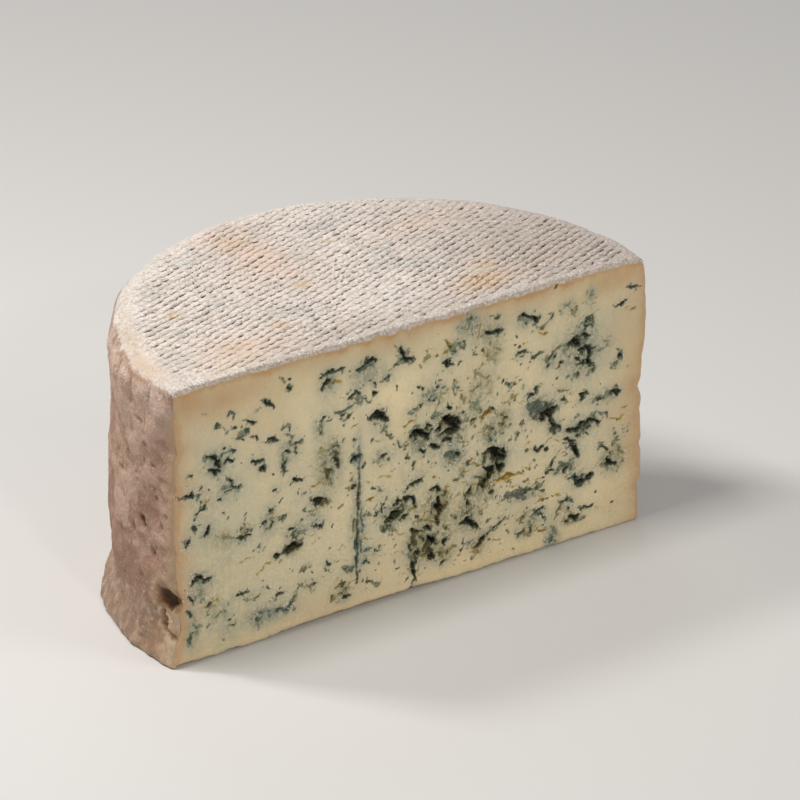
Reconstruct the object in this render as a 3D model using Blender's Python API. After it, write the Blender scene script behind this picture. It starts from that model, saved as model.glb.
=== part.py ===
"""Half of a blue cheese wheel, standing on its flat side with the cut face towards -Y.

Metres, +Z up. The origin is on the base, on the axis that the whole wheel had, so a point's
distance from the Z axis is its distance from the wheel's middle. The cut runs along X, a little
in front of that axis. One solid: the rind and the veins are looks and have no shape of their own
here, but the larger openings in the cut face, the piercing channel and the broken corner are cut
into it.
"""

import math

import bmesh
import bpy
from mathutils import Vector

# Driving dimensions
WHEEL_RADIUS = 0.100
WHEEL_HEIGHT = 0.104
CUT_OFFSET = 0.009  # the cut lies this far in front of the wheel's axis

SHOULDER_RADIUS = 0.0052  # the rounding between the side and the top
WIDE_SHOULDER = (0.0038, 2.55, 0.50)  # what it gains on the left, where, and over what spread
FOOT_ROUNDING = 0.0012  # the rounding between the side and the base
SIDE_WAVE = 0.0003  # low ripples all over the side

CORNER_DROOP = 0.0010  # the top falls away towards the right end of the cut
BACK_RISE = 0.0014  # and stands a little higher at the back
TOP_WAVE = 0.0004
TOP_WAVE_LENGTHS = (0.024, 0.040)  # along X and along Y

# Where the side stands out of the true outline or, below zero, is drawn in: amount, direction
# from the middle of the cut in radians and its spread, height and its spread
SIDE_SWELLS = (
    (0.0007, 2.00, 1.30, 0.0460, 0.0200),  # the belly at mid height
    (0.0010, 2.20, 1.50, 0.0010, 0.0075),  # the foot, sagged outwards all round
    (0.0036, 2.62, 0.45, 0.0010, 0.0075),  # and most on the left
    (-0.0010, 2.50, 0.40, 0.0720, 0.0160),  # a waist below the wide shoulder
    (0.0012, 0.85, 0.60, 0.0500, 0.2000),  # the wheel is a little out of round
    (0.0016, 0.00, 0.10, 0.0800, 0.0180),  # the right end of the cut swells high up
    (-0.0009, 0.00, 0.12, 0.0100, 0.0120),  # and is tucked in near its foot
    (-0.0012, 0.00, 0.06, 0.0135, 0.0022),  # three notches in that end
    (-0.0018, 0.00, 0.06, 0.0295, 0.0022),
    (-0.0016, 0.00, 0.06, 0.0520, 0.0022),
)

COLUMNS = 72  # around the side, from one end of the cut to the other
WALL_ROWS = 16
WALL_ROW_SPREAD = 1.35  # rows are closer together near the foot
SHOULDER_ROWS = 4
TOP_RINGS = 10

# The larger openings in the cut face: x, z, length, width, tilt in degrees, depth
OPENINGS = (
    (-0.0830, 0.0730, 0.0090, 0.0055, 60, 0.0050),
    (-0.0715, 0.0425, 0.0070, 0.0022, 0, 0.0030),
    (-0.0900, 0.0312, 0.0080, 0.0030, 0, 0.0035),
    (-0.0500, 0.0328, 0.0080, 0.0040, 15, 0.0035),
    (-0.0405, 0.0475, 0.0070, 0.0032, -8, 0.0040),
    (-0.0205, 0.0930, 0.0080, 0.0026, 25, 0.0030),
    (-0.0150, 0.0720, 0.0080, 0.0036, -35, 0.0040),
    (-0.0085, 0.0330, 0.0080, 0.0040, 25, 0.0045),
    (0.0035, 0.0590, 0.0090, 0.0044, 10, 0.0050),
    (0.0150, 0.0600, 0.0120, 0.0054, -25, 0.0050),
    (0.0075, 0.0180, 0.0070, 0.0040, -45, 0.0045),
    (0.0105, 0.0300, 0.0080, 0.0036, 85, 0.0045),
    (0.0228, 0.0210, 0.0070, 0.0034, -25, 0.0040),
    (0.0300, 0.0330, 0.0070, 0.0042, 20, 0.0040),
    (0.0345, 0.0440, 0.0110, 0.0040, -35, 0.0045),
    (0.0285, 0.0110, 0.0070, 0.0032, 45, 0.0035),
    (0.0500, 0.0920, 0.0080, 0.0028, -35, 0.0030),
    (0.0570, 0.0540, 0.0110, 0.0056, -30, 0.0035),
    (0.0690, 0.0772, 0.0080, 0.0040, -15, 0.0040),
    (0.0748, 0.0700, 0.0090, 0.0050, 80, 0.0045),
    (0.0680, 0.0092, 0.0060, 0.0034, 5, 0.0040),
    (0.0720, 0.0235, 0.0080, 0.0038, -20, 0.0030),
    (0.0860, 0.0530, 0.0060, 0.0034, 10, 0.0030),
    (0.0855, 0.0260, 0.0070, 0.0034, -5, 0.0030),
)

# The channel that the piercing needle left: x and z of its upper and lower end, and its radius
CHANNEL_TOP = (-0.0233, 0.0610)
CHANNEL_FOOT = (-0.0248, 0.0130)
CHANNEL_RADIUS = 0.0011

# The broken place at the lower left corner: centre, then half sizes, of the hollow and the crevice
CORNER_HOLLOW = ((-0.1010, -0.0035, 0.0262), (0.0046, 0.0050, 0.0050))
CORNER_CREVICE = ((-0.1022, -0.0030, 0.0160), (0.0030, 0.0019, 0.0056))

PASTE_COLOUR = (0.60, 0.50, 0.33, 1.0)
RIND_COLOUR = (0.62, 0.53, 0.46, 1.0)


def remove_old_objects():
    for old in list(bpy.data.objects):
        bpy.data.objects.remove(old, do_unlink=True)


def cheese_material(name, colour, roughness):
    material = bpy.data.materials.new(name)
    material.use_nodes = True
    shader = material.node_tree.nodes["Principled BSDF"]
    shader.inputs["Base Color"].default_value = colour
    shader.inputs["Roughness"].default_value = roughness
    shader.inputs["Metallic"].default_value = 0.0
    material.diffuse_color = colour
    return material


def bump(value, centre, width):
    """A smooth hill of height 1 at centre."""
    return math.exp(-(((value - centre) / width) ** 2))


def smooth_step(value, start, end):
    t = min(max((value - start) / (end - start), 0.0), 1.0)
    return t * t * (3.0 - 2.0 * t)


def plan_reach(turn):
    """Distance from the middle of the cut to the wheel's true outline, turn radians from +X."""
    across = CUT_OFFSET * math.cos(turn)
    return CUT_OFFSET * math.sin(turn) + math.sqrt(WHEEL_RADIUS**2 - across**2)


def side_swell(turn, height):
    """How far the side stands out of the true outline."""
    swell = SIDE_WAVE * math.sin(9.0 * turn + 70.0 * height)
    swell += SIDE_WAVE * math.sin(21.0 * turn - 110.0 * height + 3.6)
    for amount, direction, turn_spread, level, height_spread in SIDE_SWELLS:
        swell += amount * bump(turn, direction, turn_spread) * bump(height, level, height_spread)
    return swell


def top_height(x, y):
    """Height of the upper rind above the base."""
    back = y + CUT_OFFSET
    height = WHEEL_HEIGHT + BACK_RISE * smooth_step(back, 0.005, 0.090)
    height -= CORNER_DROOP * smooth_step(x, 0.030, 0.095) * bump(back, 0.0, 0.012)
    wave_x, wave_y = TOP_WAVE_LENGTHS
    return height + TOP_WAVE * math.sin(x / wave_x - 1.8) * math.cos(y / wave_y)


def shoulder_radius(turn):
    gain, direction, spread = WIDE_SHOULDER
    return SHOULDER_RADIUS + gain * bump(turn, direction, spread)


def plan_point(turn, reach):
    return reach * math.cos(turn), reach * math.sin(turn) - CUT_OFFSET


def skin_column(turn):
    """Points of the outer skin, from the base up over the shoulder to just short of the pole."""
    reach = plan_reach(turn)
    round_over = shoulder_radius(turn)
    crest = top_height(*plan_point(turn, reach - round_over))
    wall_top = crest - round_over
    points = []
    for inward, height in ((FOOT_ROUNDING, 0.0), (0.3 * FOOT_ROUNDING, 0.3 * FOOT_ROUNDING)):
        swollen = reach - inward + side_swell(turn, height)
        points.append((*plan_point(turn, swollen), height))
    for row in range(WALL_ROWS):
        rise = (row / (WALL_ROWS - 1)) ** WALL_ROW_SPREAD
        height = FOOT_ROUNDING + (wall_top - FOOT_ROUNDING) * rise
        points.append((*plan_point(turn, reach + side_swell(turn, height)), height))
    for row in range(1, SHOULDER_ROWS + 1):
        lean = 0.5 * math.pi * row / SHOULDER_ROWS
        inward = round_over * (1.0 - math.cos(lean))
        height = wall_top + round_over * math.sin(lean)
        swell = side_swell(turn, height) * math.cos(lean)
        points.append((*plan_point(turn, reach - inward + swell), height))
    for ring in range(1, TOP_RINGS):
        x, y = plan_point(turn, (reach - round_over) * (1.0 - ring / TOP_RINGS))
        points.append((x, y, top_height(x, y)))
    return points


def half_wheel_mesh(name):
    """The whole skin as one closed mesh, with the cut face as a single flat polygon."""
    mesh = bmesh.new()
    columns = []
    for step in range(COLUMNS + 1):
        column = skin_column(math.pi * step / COLUMNS)
        columns.append([mesh.verts.new(point) for point in column])
    pole = mesh.verts.new((0.0, -CUT_OFFSET, top_height(0.0, -CUT_OFFSET)))
    base_middle = mesh.verts.new((0.0, -CUT_OFFSET, 0.0))

    for right, left in zip(columns, columns[1:]):
        for row in range(len(right) - 1):
            mesh.faces.new((right[row], left[row], left[row + 1], right[row + 1]))
        mesh.faces.new((right[-1], left[-1], pole))
        mesh.faces.new((base_middle, left[0], right[0]))

    cut_face = mesh.faces.new([base_middle, *columns[0], pole, *reversed(columns[-1])])
    cut_face.material_index = 1
    for flat_point in (*columns[0], *columns[-1]):
        flat_point.co.y = -CUT_OFFSET
    bmesh.ops.recalc_face_normals(mesh, faces=mesh.faces)

    data = bpy.data.meshes.new(name)
    mesh.to_mesh(data)
    mesh.free()
    return data


def new_cutter(name, data, cutters, paste):
    """A shape that only cuts: kept out of the model itself."""
    data.materials.append(paste)
    cutter = bpy.data.objects.new(name, data)
    cutter.hide_render = True
    cutter.display_type = "WIRE"
    cutters.objects.link(cutter)
    return cutter


def ragged_lump(name, half_sizes, seed, raggedness=0.14):
    """A lump of about the given half sizes, uneven as a tear in crumbly paste is."""
    lump = bmesh.new()
    bmesh.ops.create_icosphere(lump, subdivisions=2, radius=1.0)
    for vert in lump.verts:
        x, y, z = vert.co
        uneven = 1.0 + raggedness * math.sin(5.0 * x + seed) * math.cos(4.0 * z - 2.0 * seed)
        vert.co = Vector((x * half_sizes[0], y * half_sizes[1], z * half_sizes[2])) * uneven
    data = bpy.data.meshes.new(name)
    lump.to_mesh(data)
    lump.free()
    return data


def cut_opening(number, opening, cutters, paste):
    x, z, length, width, tilt, depth = opening
    data = ragged_lump(f"opening_{number}", (length / 2, depth, width / 2), float(number))
    cutter = new_cutter(f"opening_{number}", data, cutters, paste)
    cutter.location = (x, -CUT_OFFSET, z)
    cutter.rotation_euler = (0.0, -math.radians(tilt), 0.0)


def cut_channel(cutters, paste):
    """The needle's way, laid open along its length by the cut."""
    (top_x, top_z), (foot_x, foot_z) = CHANNEL_TOP, CHANNEL_FOOT
    run = Vector((top_x - foot_x, 0.0, top_z - foot_z))
    channel = bmesh.new()
    bmesh.ops.create_cone(
        channel,
        cap_ends=True,
        segments=10,
        radius1=CHANNEL_RADIUS,
        radius2=0.6 * CHANNEL_RADIUS,
        depth=run.length,
    )
    data = bpy.data.meshes.new("channel")
    channel.to_mesh(data)
    channel.free()
    cutter = new_cutter("channel", data, cutters, paste)
    cutter.location = ((top_x + foot_x) / 2, -CUT_OFFSET, (top_z + foot_z) / 2)
    cutter.rotation_euler = run.to_track_quat("Z", "Y").to_euler()


def cut_corner(cutters, paste):
    for number, (centre, half_sizes) in enumerate((CORNER_HOLLOW, CORNER_CREVICE)):
        data = ragged_lump(f"corner_{number}", half_sizes, 2.0 + number)
        new_cutter(f"corner_{number}", data, cutters, paste).location = centre


def build_cheese():
    remove_old_objects()
    rind = cheese_material("rind", RIND_COLOUR, 0.75)
    paste = cheese_material("paste", PASTE_COLOUR, 0.45)

    cutters = bpy.data.collections.new("cutters")
    bpy.context.scene.collection.children.link(cutters)
    for number, opening in enumerate(OPENINGS):
        cut_opening(number, opening, cutters, paste)
    cut_channel(cutters, paste)
    cut_corner(cutters, paste)

    data = half_wheel_mesh("cheese_half_wheel")
    data.materials.append(rind)
    data.materials.append(paste)
    cheese = bpy.data.objects.new("cheese_half_wheel", data)
    bpy.context.scene.collection.objects.link(cheese)

    torn = cheese.modifiers.new("openings", "BOOLEAN")
    torn.operation = "DIFFERENCE"
    torn.operand_type = "COLLECTION"
    torn.collection = cutters
    torn.solver = "EXACT"
    data.shade_smooth()
    data.set_sharp_from_angle(angle=math.radians(35.0))


build_cheese()
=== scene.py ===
import math

import bpy
import numpy as np
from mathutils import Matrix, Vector


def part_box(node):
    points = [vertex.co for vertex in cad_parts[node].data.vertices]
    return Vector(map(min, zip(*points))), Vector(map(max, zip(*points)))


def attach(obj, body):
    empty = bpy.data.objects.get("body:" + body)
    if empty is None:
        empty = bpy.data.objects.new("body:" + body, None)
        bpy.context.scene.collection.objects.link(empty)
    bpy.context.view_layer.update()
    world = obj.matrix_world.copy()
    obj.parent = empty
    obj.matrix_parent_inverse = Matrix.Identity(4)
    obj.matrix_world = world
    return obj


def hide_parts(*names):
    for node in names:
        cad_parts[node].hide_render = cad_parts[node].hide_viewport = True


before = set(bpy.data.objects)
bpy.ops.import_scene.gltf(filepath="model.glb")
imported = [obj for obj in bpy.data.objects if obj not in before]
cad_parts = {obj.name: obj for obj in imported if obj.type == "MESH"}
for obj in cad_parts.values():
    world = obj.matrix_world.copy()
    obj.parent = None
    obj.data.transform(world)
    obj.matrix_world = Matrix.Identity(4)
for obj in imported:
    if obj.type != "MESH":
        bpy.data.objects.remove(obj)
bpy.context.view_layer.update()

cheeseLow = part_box("cheese_half_wheel")[0]

# Shapes are worked out in millimetres, in the frame's own directions: the cut runs along X and
# looks towards -Y, and Z is height. They become metres when a mesh is made.
mm = 0.001

wheel = {
    "radius": 100.0,
    "height": 104.0,
    "cutOffset": -cheeseLow.y / mm,  # the cut lies this far in front of the wheel's middle
    "shoulder": 5.2,                 # rounding between side and top
    "wideShoulder": (3.8, 2.55, 0.50),  # what it gains on the left, where and how widely
    "cornerShoulder": (-2.6, 0.12, 0.3),  # what it loses at the left end of the cut, how widely,
                                          # and the share of it that the right end gains
    "footRounding": 1.2,
    "sideWave": 0.3,
    "cornerDroop": 1.0,
    "backRise": 1.4,
    "topWave": (0.4, 24.0, 40.0),    # height, then the lengths along X and Y
    "cutEdge": 0.8,                  # how round the knife's edge is along the top,
    "cornerEdge": 2.3,               # at both ends of the cut
    "lowerEdge": 1.9,                # and along the table
    "lift": 0.05,                    # the skin stays this far above the table
    "seam": 0.85,                    # top and side meet where the shoulder leans over this far
    "overlap": 0.14,                 # both run on past the seam, as a lean,
    "tuck": 0.10,                    # and dip this far under the other
    # unevenness: amount, size and seed of each noise
    "grain": [(0.30, 13.0, 11), (0.13, 2.6, 12)],
    "bloomEdge": [(0.40, 12.0, 13), (0.22, 2.6, 14)],
    "edgeWaver": (0.55, 6.0, 82),    # of the upright edges of the cut
    "breaks": [(1.9, 24.0, 4.2), (0.9, 15.0, 4.0)],  # in the left edge: depth, height and spread
}

# where the side stands out or is drawn in: amount, direction in radians and its spread,
# height and its spread
sideSwells = [
    (0.7, 2.00, 1.30, 46.0, 20.0),
    (1.0, 2.20, 1.50, 1.0, 7.5),
    (3.6, 2.62, 0.45, 1.0, 7.5),
    (-1.0, 2.50, 0.40, 72.0, 16.0),
    (1.2, 0.85, 0.60, 50.0, 200.0),
    (1.6, 0.00, 0.10, 80.0, 18.0),
    (-0.9, 0.00, 0.12, 10.0, 12.0),
    (-0.9, 0.00, 0.03, 13.5, 1.9),   # nicks in the right edge of the cut
    (-1.1, 0.00, 0.03, 29.5, 1.8),
    (-0.4, 0.00, 0.02, 43.0, 1.3),
    (-1.2, 0.00, 0.04, 52.5, 2.2),
    (-0.4, 0.00, 0.03, 64.0, 2.0),
    (-0.3, 0.00, 0.03, 88.5, 1.6),
    (-0.9, 3.14, 0.05, 81.0, 2.2),   # a dent in the left edge
    (-0.5, 3.14, 0.05, 67.0, 1.6),
    (-0.5, 3.14, 0.05, 44.0, 2.0),
]


def ramp(value, start, end):
    part = np.clip((value - start) / (end - start), 0.0, 1.0)
    return part * part * (3.0 - 2.0 * part)


def fadeOut(value, start, end):
    return 1.0 - ramp(value, start, end)


def bump(value, centre, width):
    return np.exp(-(((value - centre) / width) ** 2))


def softNoise(x, y, z, size, seed, octaves=1):
    # lumps about size mm wide, from -1 to 1
    table = np.random.default_rng(seed).uniform(-1.0, 1.0, (32, 32, 32))
    total = 0.0
    weight = 1.0
    weights = 0.0
    for octave in range(octaves):
        scaled = [np.asarray(v) / size * 2.0**octave + 11.3 * octave for v in (x, y, z)]
        cells = [np.floor(v).astype(int) for v in scaled]
        parts = [v - c for v, c in zip(scaled, cells)]
        parts = [p * p * (3.0 - 2.0 * p) for p in parts]
        value = 0.0
        for corner in range(8):
            steps = (corner & 1, corner >> 1 & 1, corner >> 2 & 1)
            share = 1.0
            for part, step in zip(parts, steps):
                share = share * (part if step else 1.0 - part)
            value = value + share * table[tuple((c + s) % 32 for c, s in zip(cells, steps))]
        total = total + weight * value
        weights += weight
        weight *= 0.55
    return total / weights


def layeredNoise(x, y, z, layers):
    return sum(amount * softNoise(x, y, z, size, seed, 2) for amount, size, seed in layers)


def ridgeNoise(x, y, z, size, seed):
    # thin creases: 1 on a crease, falling to 0 between them
    return 1.0 - np.abs(softNoise(x, y, z, size, seed, 2)) * 2.0


def pointsAt(*places):
    return np.stack(places, axis=-1)


def edgePull(distance, radius):
    # how far a rounded edge draws the skin back, at this distance from the sharp corner
    inside = radius - np.clip(distance, 0.0, radius)
    return radius - np.sqrt(np.maximum(radius**2 - inside**2, 0.0))


def setBack(radius):
    # how far the middle of a rounded edge lies behind both of its faces
    return radius * (1.0 - math.sqrt(0.5))


def planReach(turn):
    across = wheel["cutOffset"] * np.cos(turn)
    return wheel["cutOffset"] * np.sin(turn) + np.sqrt(wheel["radius"] ** 2 - across**2)


def sideSwell(turn, height):
    wave = wheel["sideWave"]
    swell = wave * np.sin(9.0 * turn + 0.070 * height)
    swell = swell + wave * np.sin(21.0 * turn - 0.110 * height + 3.6)
    for amount, direction, turnSpread, level, heightSpread in sideSwells:
        swell = swell + amount * bump(turn, direction, turnSpread) * bump(height, level, heightSpread)
    return swell


def topHeight(x, y):
    back = y + wheel["cutOffset"]
    height = wheel["height"] + wheel["backRise"] * ramp(back, 5.0, 90.0)
    height = height - wheel["cornerDroop"] * ramp(x, 30.0, 95.0) * bump(back, 0.0, 12.0)
    amount, alongX, alongY = wheel["topWave"]
    return height + amount * np.sin(x / alongX - 1.8) * np.cos(y / alongY)


def shoulderRadius(turn):
    gain, direction, spread = wheel["wideShoulder"]
    loss, endSpread, gained = wheel["cornerShoulder"]
    ends = bump(turn, math.pi, endSpread) - gained * bump(turn, 0.0, endSpread)
    return wheel["shoulder"] + gain * bump(turn, direction, spread) + loss * ends


def planPoint(turn, reach):
    return reach * np.cos(turn), reach * np.sin(turn) - wheel["cutOffset"]


def sideSkin(turn, climb):
    # distance from the middle of the cut, height and lean of the skin, climb mm up the side
    reach = planReach(turn)
    roundOver = shoulderRadius(turn)
    wallTop = topHeight(*planPoint(turn, reach - roundOver)) - roundOver
    lean = np.clip((climb - wallTop) / roundOver, 0.0, math.pi / 2)
    height = np.minimum(climb, wallTop) + roundOver * np.sin(lean)
    distance = reach - roundOver * (1.0 - np.cos(lean)) + sideSwell(turn, height) * np.cos(lean)
    return distance - edgePull(height, wheel["footRounding"]), height, lean


def wallClimb(turn, lean):
    # how far up the side the shoulder has leaned over by this much
    roundOver = shoulderRadius(turn)
    wallTop = topHeight(*planPoint(turn, planReach(turn) - roundOver)) - roundOver
    return wallTop + roundOver * lean


def topSkin(turn, along):
    # distance from the middle of the cut, height and lean of the skin, along mm out over the top
    roundOver = shoulderRadius(turn)
    flat = planReach(turn) - roundOver
    lean = np.clip((along - flat) / roundOver, 0.0, math.pi / 2)
    distance = np.minimum(along, flat) + roundOver * np.sin(lean)
    height = topHeight(*planPoint(turn, np.minimum(along, flat))) - roundOver * (1.0 - np.cos(lean))
    return distance + sideSwell(turn, height) * np.sin(lean), height, lean


def tucked(past):
    # how far top or side dips under the other, this far past the seam
    return wheel["tuck"] * ramp(past, 0.0, 0.08)


def cornerGrain(x, z):
    # how wavy the cut's upright edges are; the left one is broken out above the table
    broken = sum(depth * bump(z, height, spread) for depth, height, spread in wheel["breaks"])
    waver = layeredNoise(np.sign(x) * 3.0, np.zeros_like(z), z, [wheel["edgeWaver"]])
    return waver - broken * (x < 0.0)


def bloomShare(turn, lean, x, y, z):
    # where the white bloom of the top gives way to the bare side: earlier on the left shoulder
    limit = 1.05 - 0.25 * bump(turn, 2.7, 0.75) + layeredNoise(x, y, z, wheel["bloomEdge"])
    dusted = 0.37 * ramp(z, 62.0, 100.0) * (1.0 + 0.5 * softNoise(x, y, z, 5.0, 17, 2))
    return np.maximum(fadeOut(lean, limit - 0.45, limit + 0.45), dusted)


def tanRim(turn, lean, x, y, z):
    # a tan line round the left of the top
    place = 0.38 + 0.12 * softNoise(x, y, z, 9.0, 15, 2)
    return 0.55 * bump(lean, place, 0.26) * bump(turn, 2.68, 0.42)


def makePiece(name, points, faces, looks, material, skinned):
    # the first faces, as many as skinned, are the smooth skin; the others close it behind
    mesh = bpy.data.meshes.new(name)
    mesh.from_pydata((points * mm).tolist(), [], faces)
    for look, values in looks.items():
        filled = np.zeros(len(points), dtype=np.float32)
        filled[: values.size] = values.ravel()
        mesh.attributes.new(look, "FLOAT", "POINT").data.foreach_set("value", filled)
    mesh.materials.append(material)
    mesh.shade_smooth()
    mesh.polygons.foreach_set("use_smooth", np.arange(len(faces)) < skinned)
    piece = bpy.data.objects.new(name, mesh)
    bpy.context.scene.collection.objects.link(piece)
    return piece


def gridFaces(rows, columns):
    corner = (np.arange(rows - 1)[:, None] * columns + np.arange(columns - 1)[None, :]).ravel()
    return np.stack([corner, corner + 1, corner + columns + 1, corner + columns], axis=1).tolist()


def borderOf(rows, columns):
    # the grid's outer vertices in the order of its faces
    bottom = np.arange(columns)
    right = np.arange(1, rows) * columns + columns - 1
    top = (rows - 1) * columns + np.arange(columns - 2, -1, -1)
    left = np.arange(rows - 2, 0, -1) * columns
    return np.concatenate([bottom, right, top, left])


def borderPoints(front):
    return front.reshape(-1, 3)[borderOf(*front.shape[:2])]


def slabPiece(name, front, rings, looks, material):
    # a modelled front, closed behind by rings of points and a flat back
    rows, columns = front.shape[:2]
    faces = gridFaces(rows, columns)
    skinned = len(faces)
    border = borderOf(rows, columns)
    points = [front.reshape(-1, 3)]
    count = rows * columns
    last = border
    for ring in rings:
        new = count + np.arange(len(border))
        following = np.roll(new, -1)
        lastFollowing = np.roll(last, -1)
        faces += np.stack([lastFollowing, last, new, following], axis=1).tolist()
        points.append(ring)
        count += len(border)
        last = new
    faces.append(last[::-1].tolist())
    return makePiece(name, np.concatenate(points), faces, looks, material, skinned)


def shellPiece(name, front, inner, looks, material):
    # a bent front, closed behind by a wall of one strip: inner holds its lower and upper row
    rows, columns = front.shape[:2]
    faces = gridFaces(rows, columns)
    skinned = len(faces)
    lower = rows * columns + np.arange(columns)
    upper = lower + columns
    bottom = np.arange(columns)
    top = (rows - 1) * columns + np.arange(columns)
    for a, b in ((lower, bottom), (upper, lower), (top, upper)):
        faces += np.stack([a[:-1], a[1:], b[1:], b[:-1]], axis=1).tolist()
    start = np.arange(rows) * columns
    faces.append([*start.tolist(), int(upper[0]), int(lower[0])])
    faces.append([*(start + columns - 1)[::-1].tolist(), int(lower[-1]), int(upper[-1])])
    points = np.concatenate([front.reshape(-1, 3), inner.reshape(-1, 3)])
    return makePiece(name, points, faces, looks, material, skinned)


def edgeSteps(length, step, edge):
    # places along a length, closer together next to both ends where the edge is rounded
    close = [0.0, 0.18 * edge, 0.42 * edge, 0.75 * edge]
    middle = np.linspace(1.15 * edge, length - 1.15 * edge, round((length - 2.3 * edge) / step))
    return np.concatenate([close, middle, [length - c for c in close[::-1]]])


# camera and light

view = {
    "from": (-35.65, 25.11),             # azimuth and elevation in degrees
    "distance": 2.0,
    "target": (0.01526, 0.0210, 0.05844),
    "lens": 257.2,
}


def placeCamera():
    azimuth, elevation = (math.radians(angle) for angle in view["from"])
    back = Vector((
        math.sin(azimuth) * math.cos(elevation),
        -math.cos(azimuth) * math.cos(elevation),
        math.sin(elevation),
    ))
    camera = bpy.data.objects.new("camera", bpy.data.cameras.new("camera"))
    camera.data.lens = view["lens"]
    camera.data.sensor_width = 36.0
    camera.data.clip_start = 0.05
    camera.data.clip_end = 50.0
    camera.location = Vector(view["target"]) + back * view["distance"]
    camera.rotation_euler = (-back).to_track_quat("-Z", "Y").to_euler()
    bpy.context.scene.collection.objects.link(camera)
    bpy.context.scene.camera = camera


studio = {
    "ambient": 0.25,
    "aim": (0.0, 0.03, 0.05),    # where the lamps point
    "floorHalf": 4.0,
    "floor": (0.68, 0.67, 0.655, 1.0),
    "lamps": [
        # place, size in metres, power in watts, colour
        ((-0.22, 0.06, 0.70), 0.18, 2.5, (1.0, 0.97, 0.93)),
        ((-0.55, 0.62, 0.85), 0.18, 5.0, (1.0, 0.97, 0.94)),
        ((0.85, -1.30, 0.80), 0.70, 7.0, (1.0, 0.97, 0.91)),
        ((-0.35, -1.35, 0.95), 0.10, 2.6, (1.0, 0.98, 0.95)),
        ((0.60, 1.30, 0.90), 0.80, 2.2, (0.97, 0.98, 1.0)),
    ],
}


def lightStudio():
    aim = Vector(studio["aim"])
    for place, size, power, colour in studio["lamps"]:
        lamp = bpy.data.lights.new("softbox", "AREA")
        lamp.size = size
        lamp.energy = power
        lamp.color = colour
        holder = bpy.data.objects.new("softbox", lamp)
        holder.location = place
        holder.rotation_euler = (aim - Vector(place)).to_track_quat("-Z", "Y").to_euler()
        bpy.context.scene.collection.objects.link(holder)

    world = bpy.data.worlds.new("studio")
    world.use_nodes = True
    background = world.node_tree.nodes["Background"]
    background.inputs["Color"].default_value = (1.0, 0.99, 0.98, 1.0)
    background.inputs["Strength"].default_value = studio["ambient"]
    bpy.context.scene.world = world
    bpy.context.scene.view_settings.view_transform = "Standard"

    mesh = bpy.data.meshes.new("floor")
    half = studio["floorHalf"]
    corners = [(-half, -half, 0), (half, -half, 0), (half, half, 0), (-half, half, 0)]
    mesh.from_pydata(corners, [], [(0, 1, 2, 3)])
    floor = bpy.data.objects.new("floor", mesh)
    paint = bpy.data.materials.new("floor")
    paint.use_nodes = True
    shader = paint.node_tree.nodes["Principled BSDF"]
    shader.inputs["Base Color"].default_value = studio["floor"]
    shader.inputs["Roughness"].default_value = 0.8
    mesh.materials.append(paint)
    bpy.context.scene.collection.objects.link(floor)


placeCamera()
lightStudio()
print("camera, lights and floor are in place")


# short ways to lay out nodes

class Nodes:

    def __init__(self, tree):
        self.tree = tree

    def join(self, value, socket):
        if isinstance(value, bpy.types.NodeSocket):
            self.tree.links.new(value, socket)
        else:
            socket.default_value = value

    def add(self, kind, inputs=(), **settings):
        node = self.tree.nodes.new(kind)
        for label, value in settings.items():
            setattr(node, label, value)
        for label, value in dict(inputs).items():
            self.join(value, node.inputs[label])
        return node

    def sum(self, operation, first, second=0.0, third=0.0):
        node = self.add("ShaderNodeMath", operation=operation)
        for value, socket in zip((first, second, third), node.inputs):
            self.join(value, socket)
        return node.outputs[0]

    def times(self, *values):
        total = values[0]
        for value in values[1:]:
            total = self.sum("MULTIPLY", total, value)
        return total

    def around(self, value, share, base):
        # base, moved up and down by a noise that runs from 0 to 1
        return self.sum("MULTIPLY_ADD", self.sum("SUBTRACT", value, 0.5), share, base)

    def step(self, value, start, end, low=0.0, high=1.0):
        node = self.add("ShaderNodeMapRange", interpolation_type="SMOOTHSTEP")
        for label, item in zip(("Value", "From Min", "From Max", "To Min", "To Max"),
                               (value, start, end, low, high)):
            self.join(item, node.inputs[label])
        return node.outputs["Result"]

    def chance(self, first, second=0.0):
        # three random numbers for a cell
        places = self.add("ShaderNodeCombineXYZ", {"X": first, "Y": second})
        node = self.add("ShaderNodeTexWhiteNoise", {"Vector": places.outputs[0]}, noise_dimensions="3D")
        parts = self.add("ShaderNodeSeparateXYZ")
        self.join(node.outputs["Color"], parts.inputs[0])
        return parts.outputs

    def slits(self, row, along):
        # The mat's cords leave grooves with darker slits in them: how far a place is from its
        # groove (0) to the crest of the ridge (1), and how much of a slit it is in.
        groove = self.sum("FLOOR", row)
        inRow = self.sum("SUBTRACT", self.sum("SUBTRACT", row, groove), 0.5)
        place = self.sum("MULTIPLY_ADD", self.chance(groove)["X"], 7.0, along)
        cell = self.sum("FLOOR", place)
        inPlace = self.sum("SUBTRACT", self.sum("SUBTRACT", place, cell), 0.5)
        draw = self.chance(groove, cell)
        tilted = self.sum("MULTIPLY_ADD", inPlace, 0.22, inRow)
        away = self.sum("MULTIPLY", self.sum("ABSOLUTE", tilted), 2.0)
        reach = self.sum("MULTIPLY_ADD", draw["Z"], 0.28, 0.22)
        outer = self.sum("ADD", reach, 0.10)
        ends = self.step(self.sum("ABSOLUTE", inPlace), outer, self.times(reach, 0.5))
        return away, self.times(ends, self.step(draw["X"], 0.05, 0.85, 0.12, 1.0))


# finishes

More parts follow.
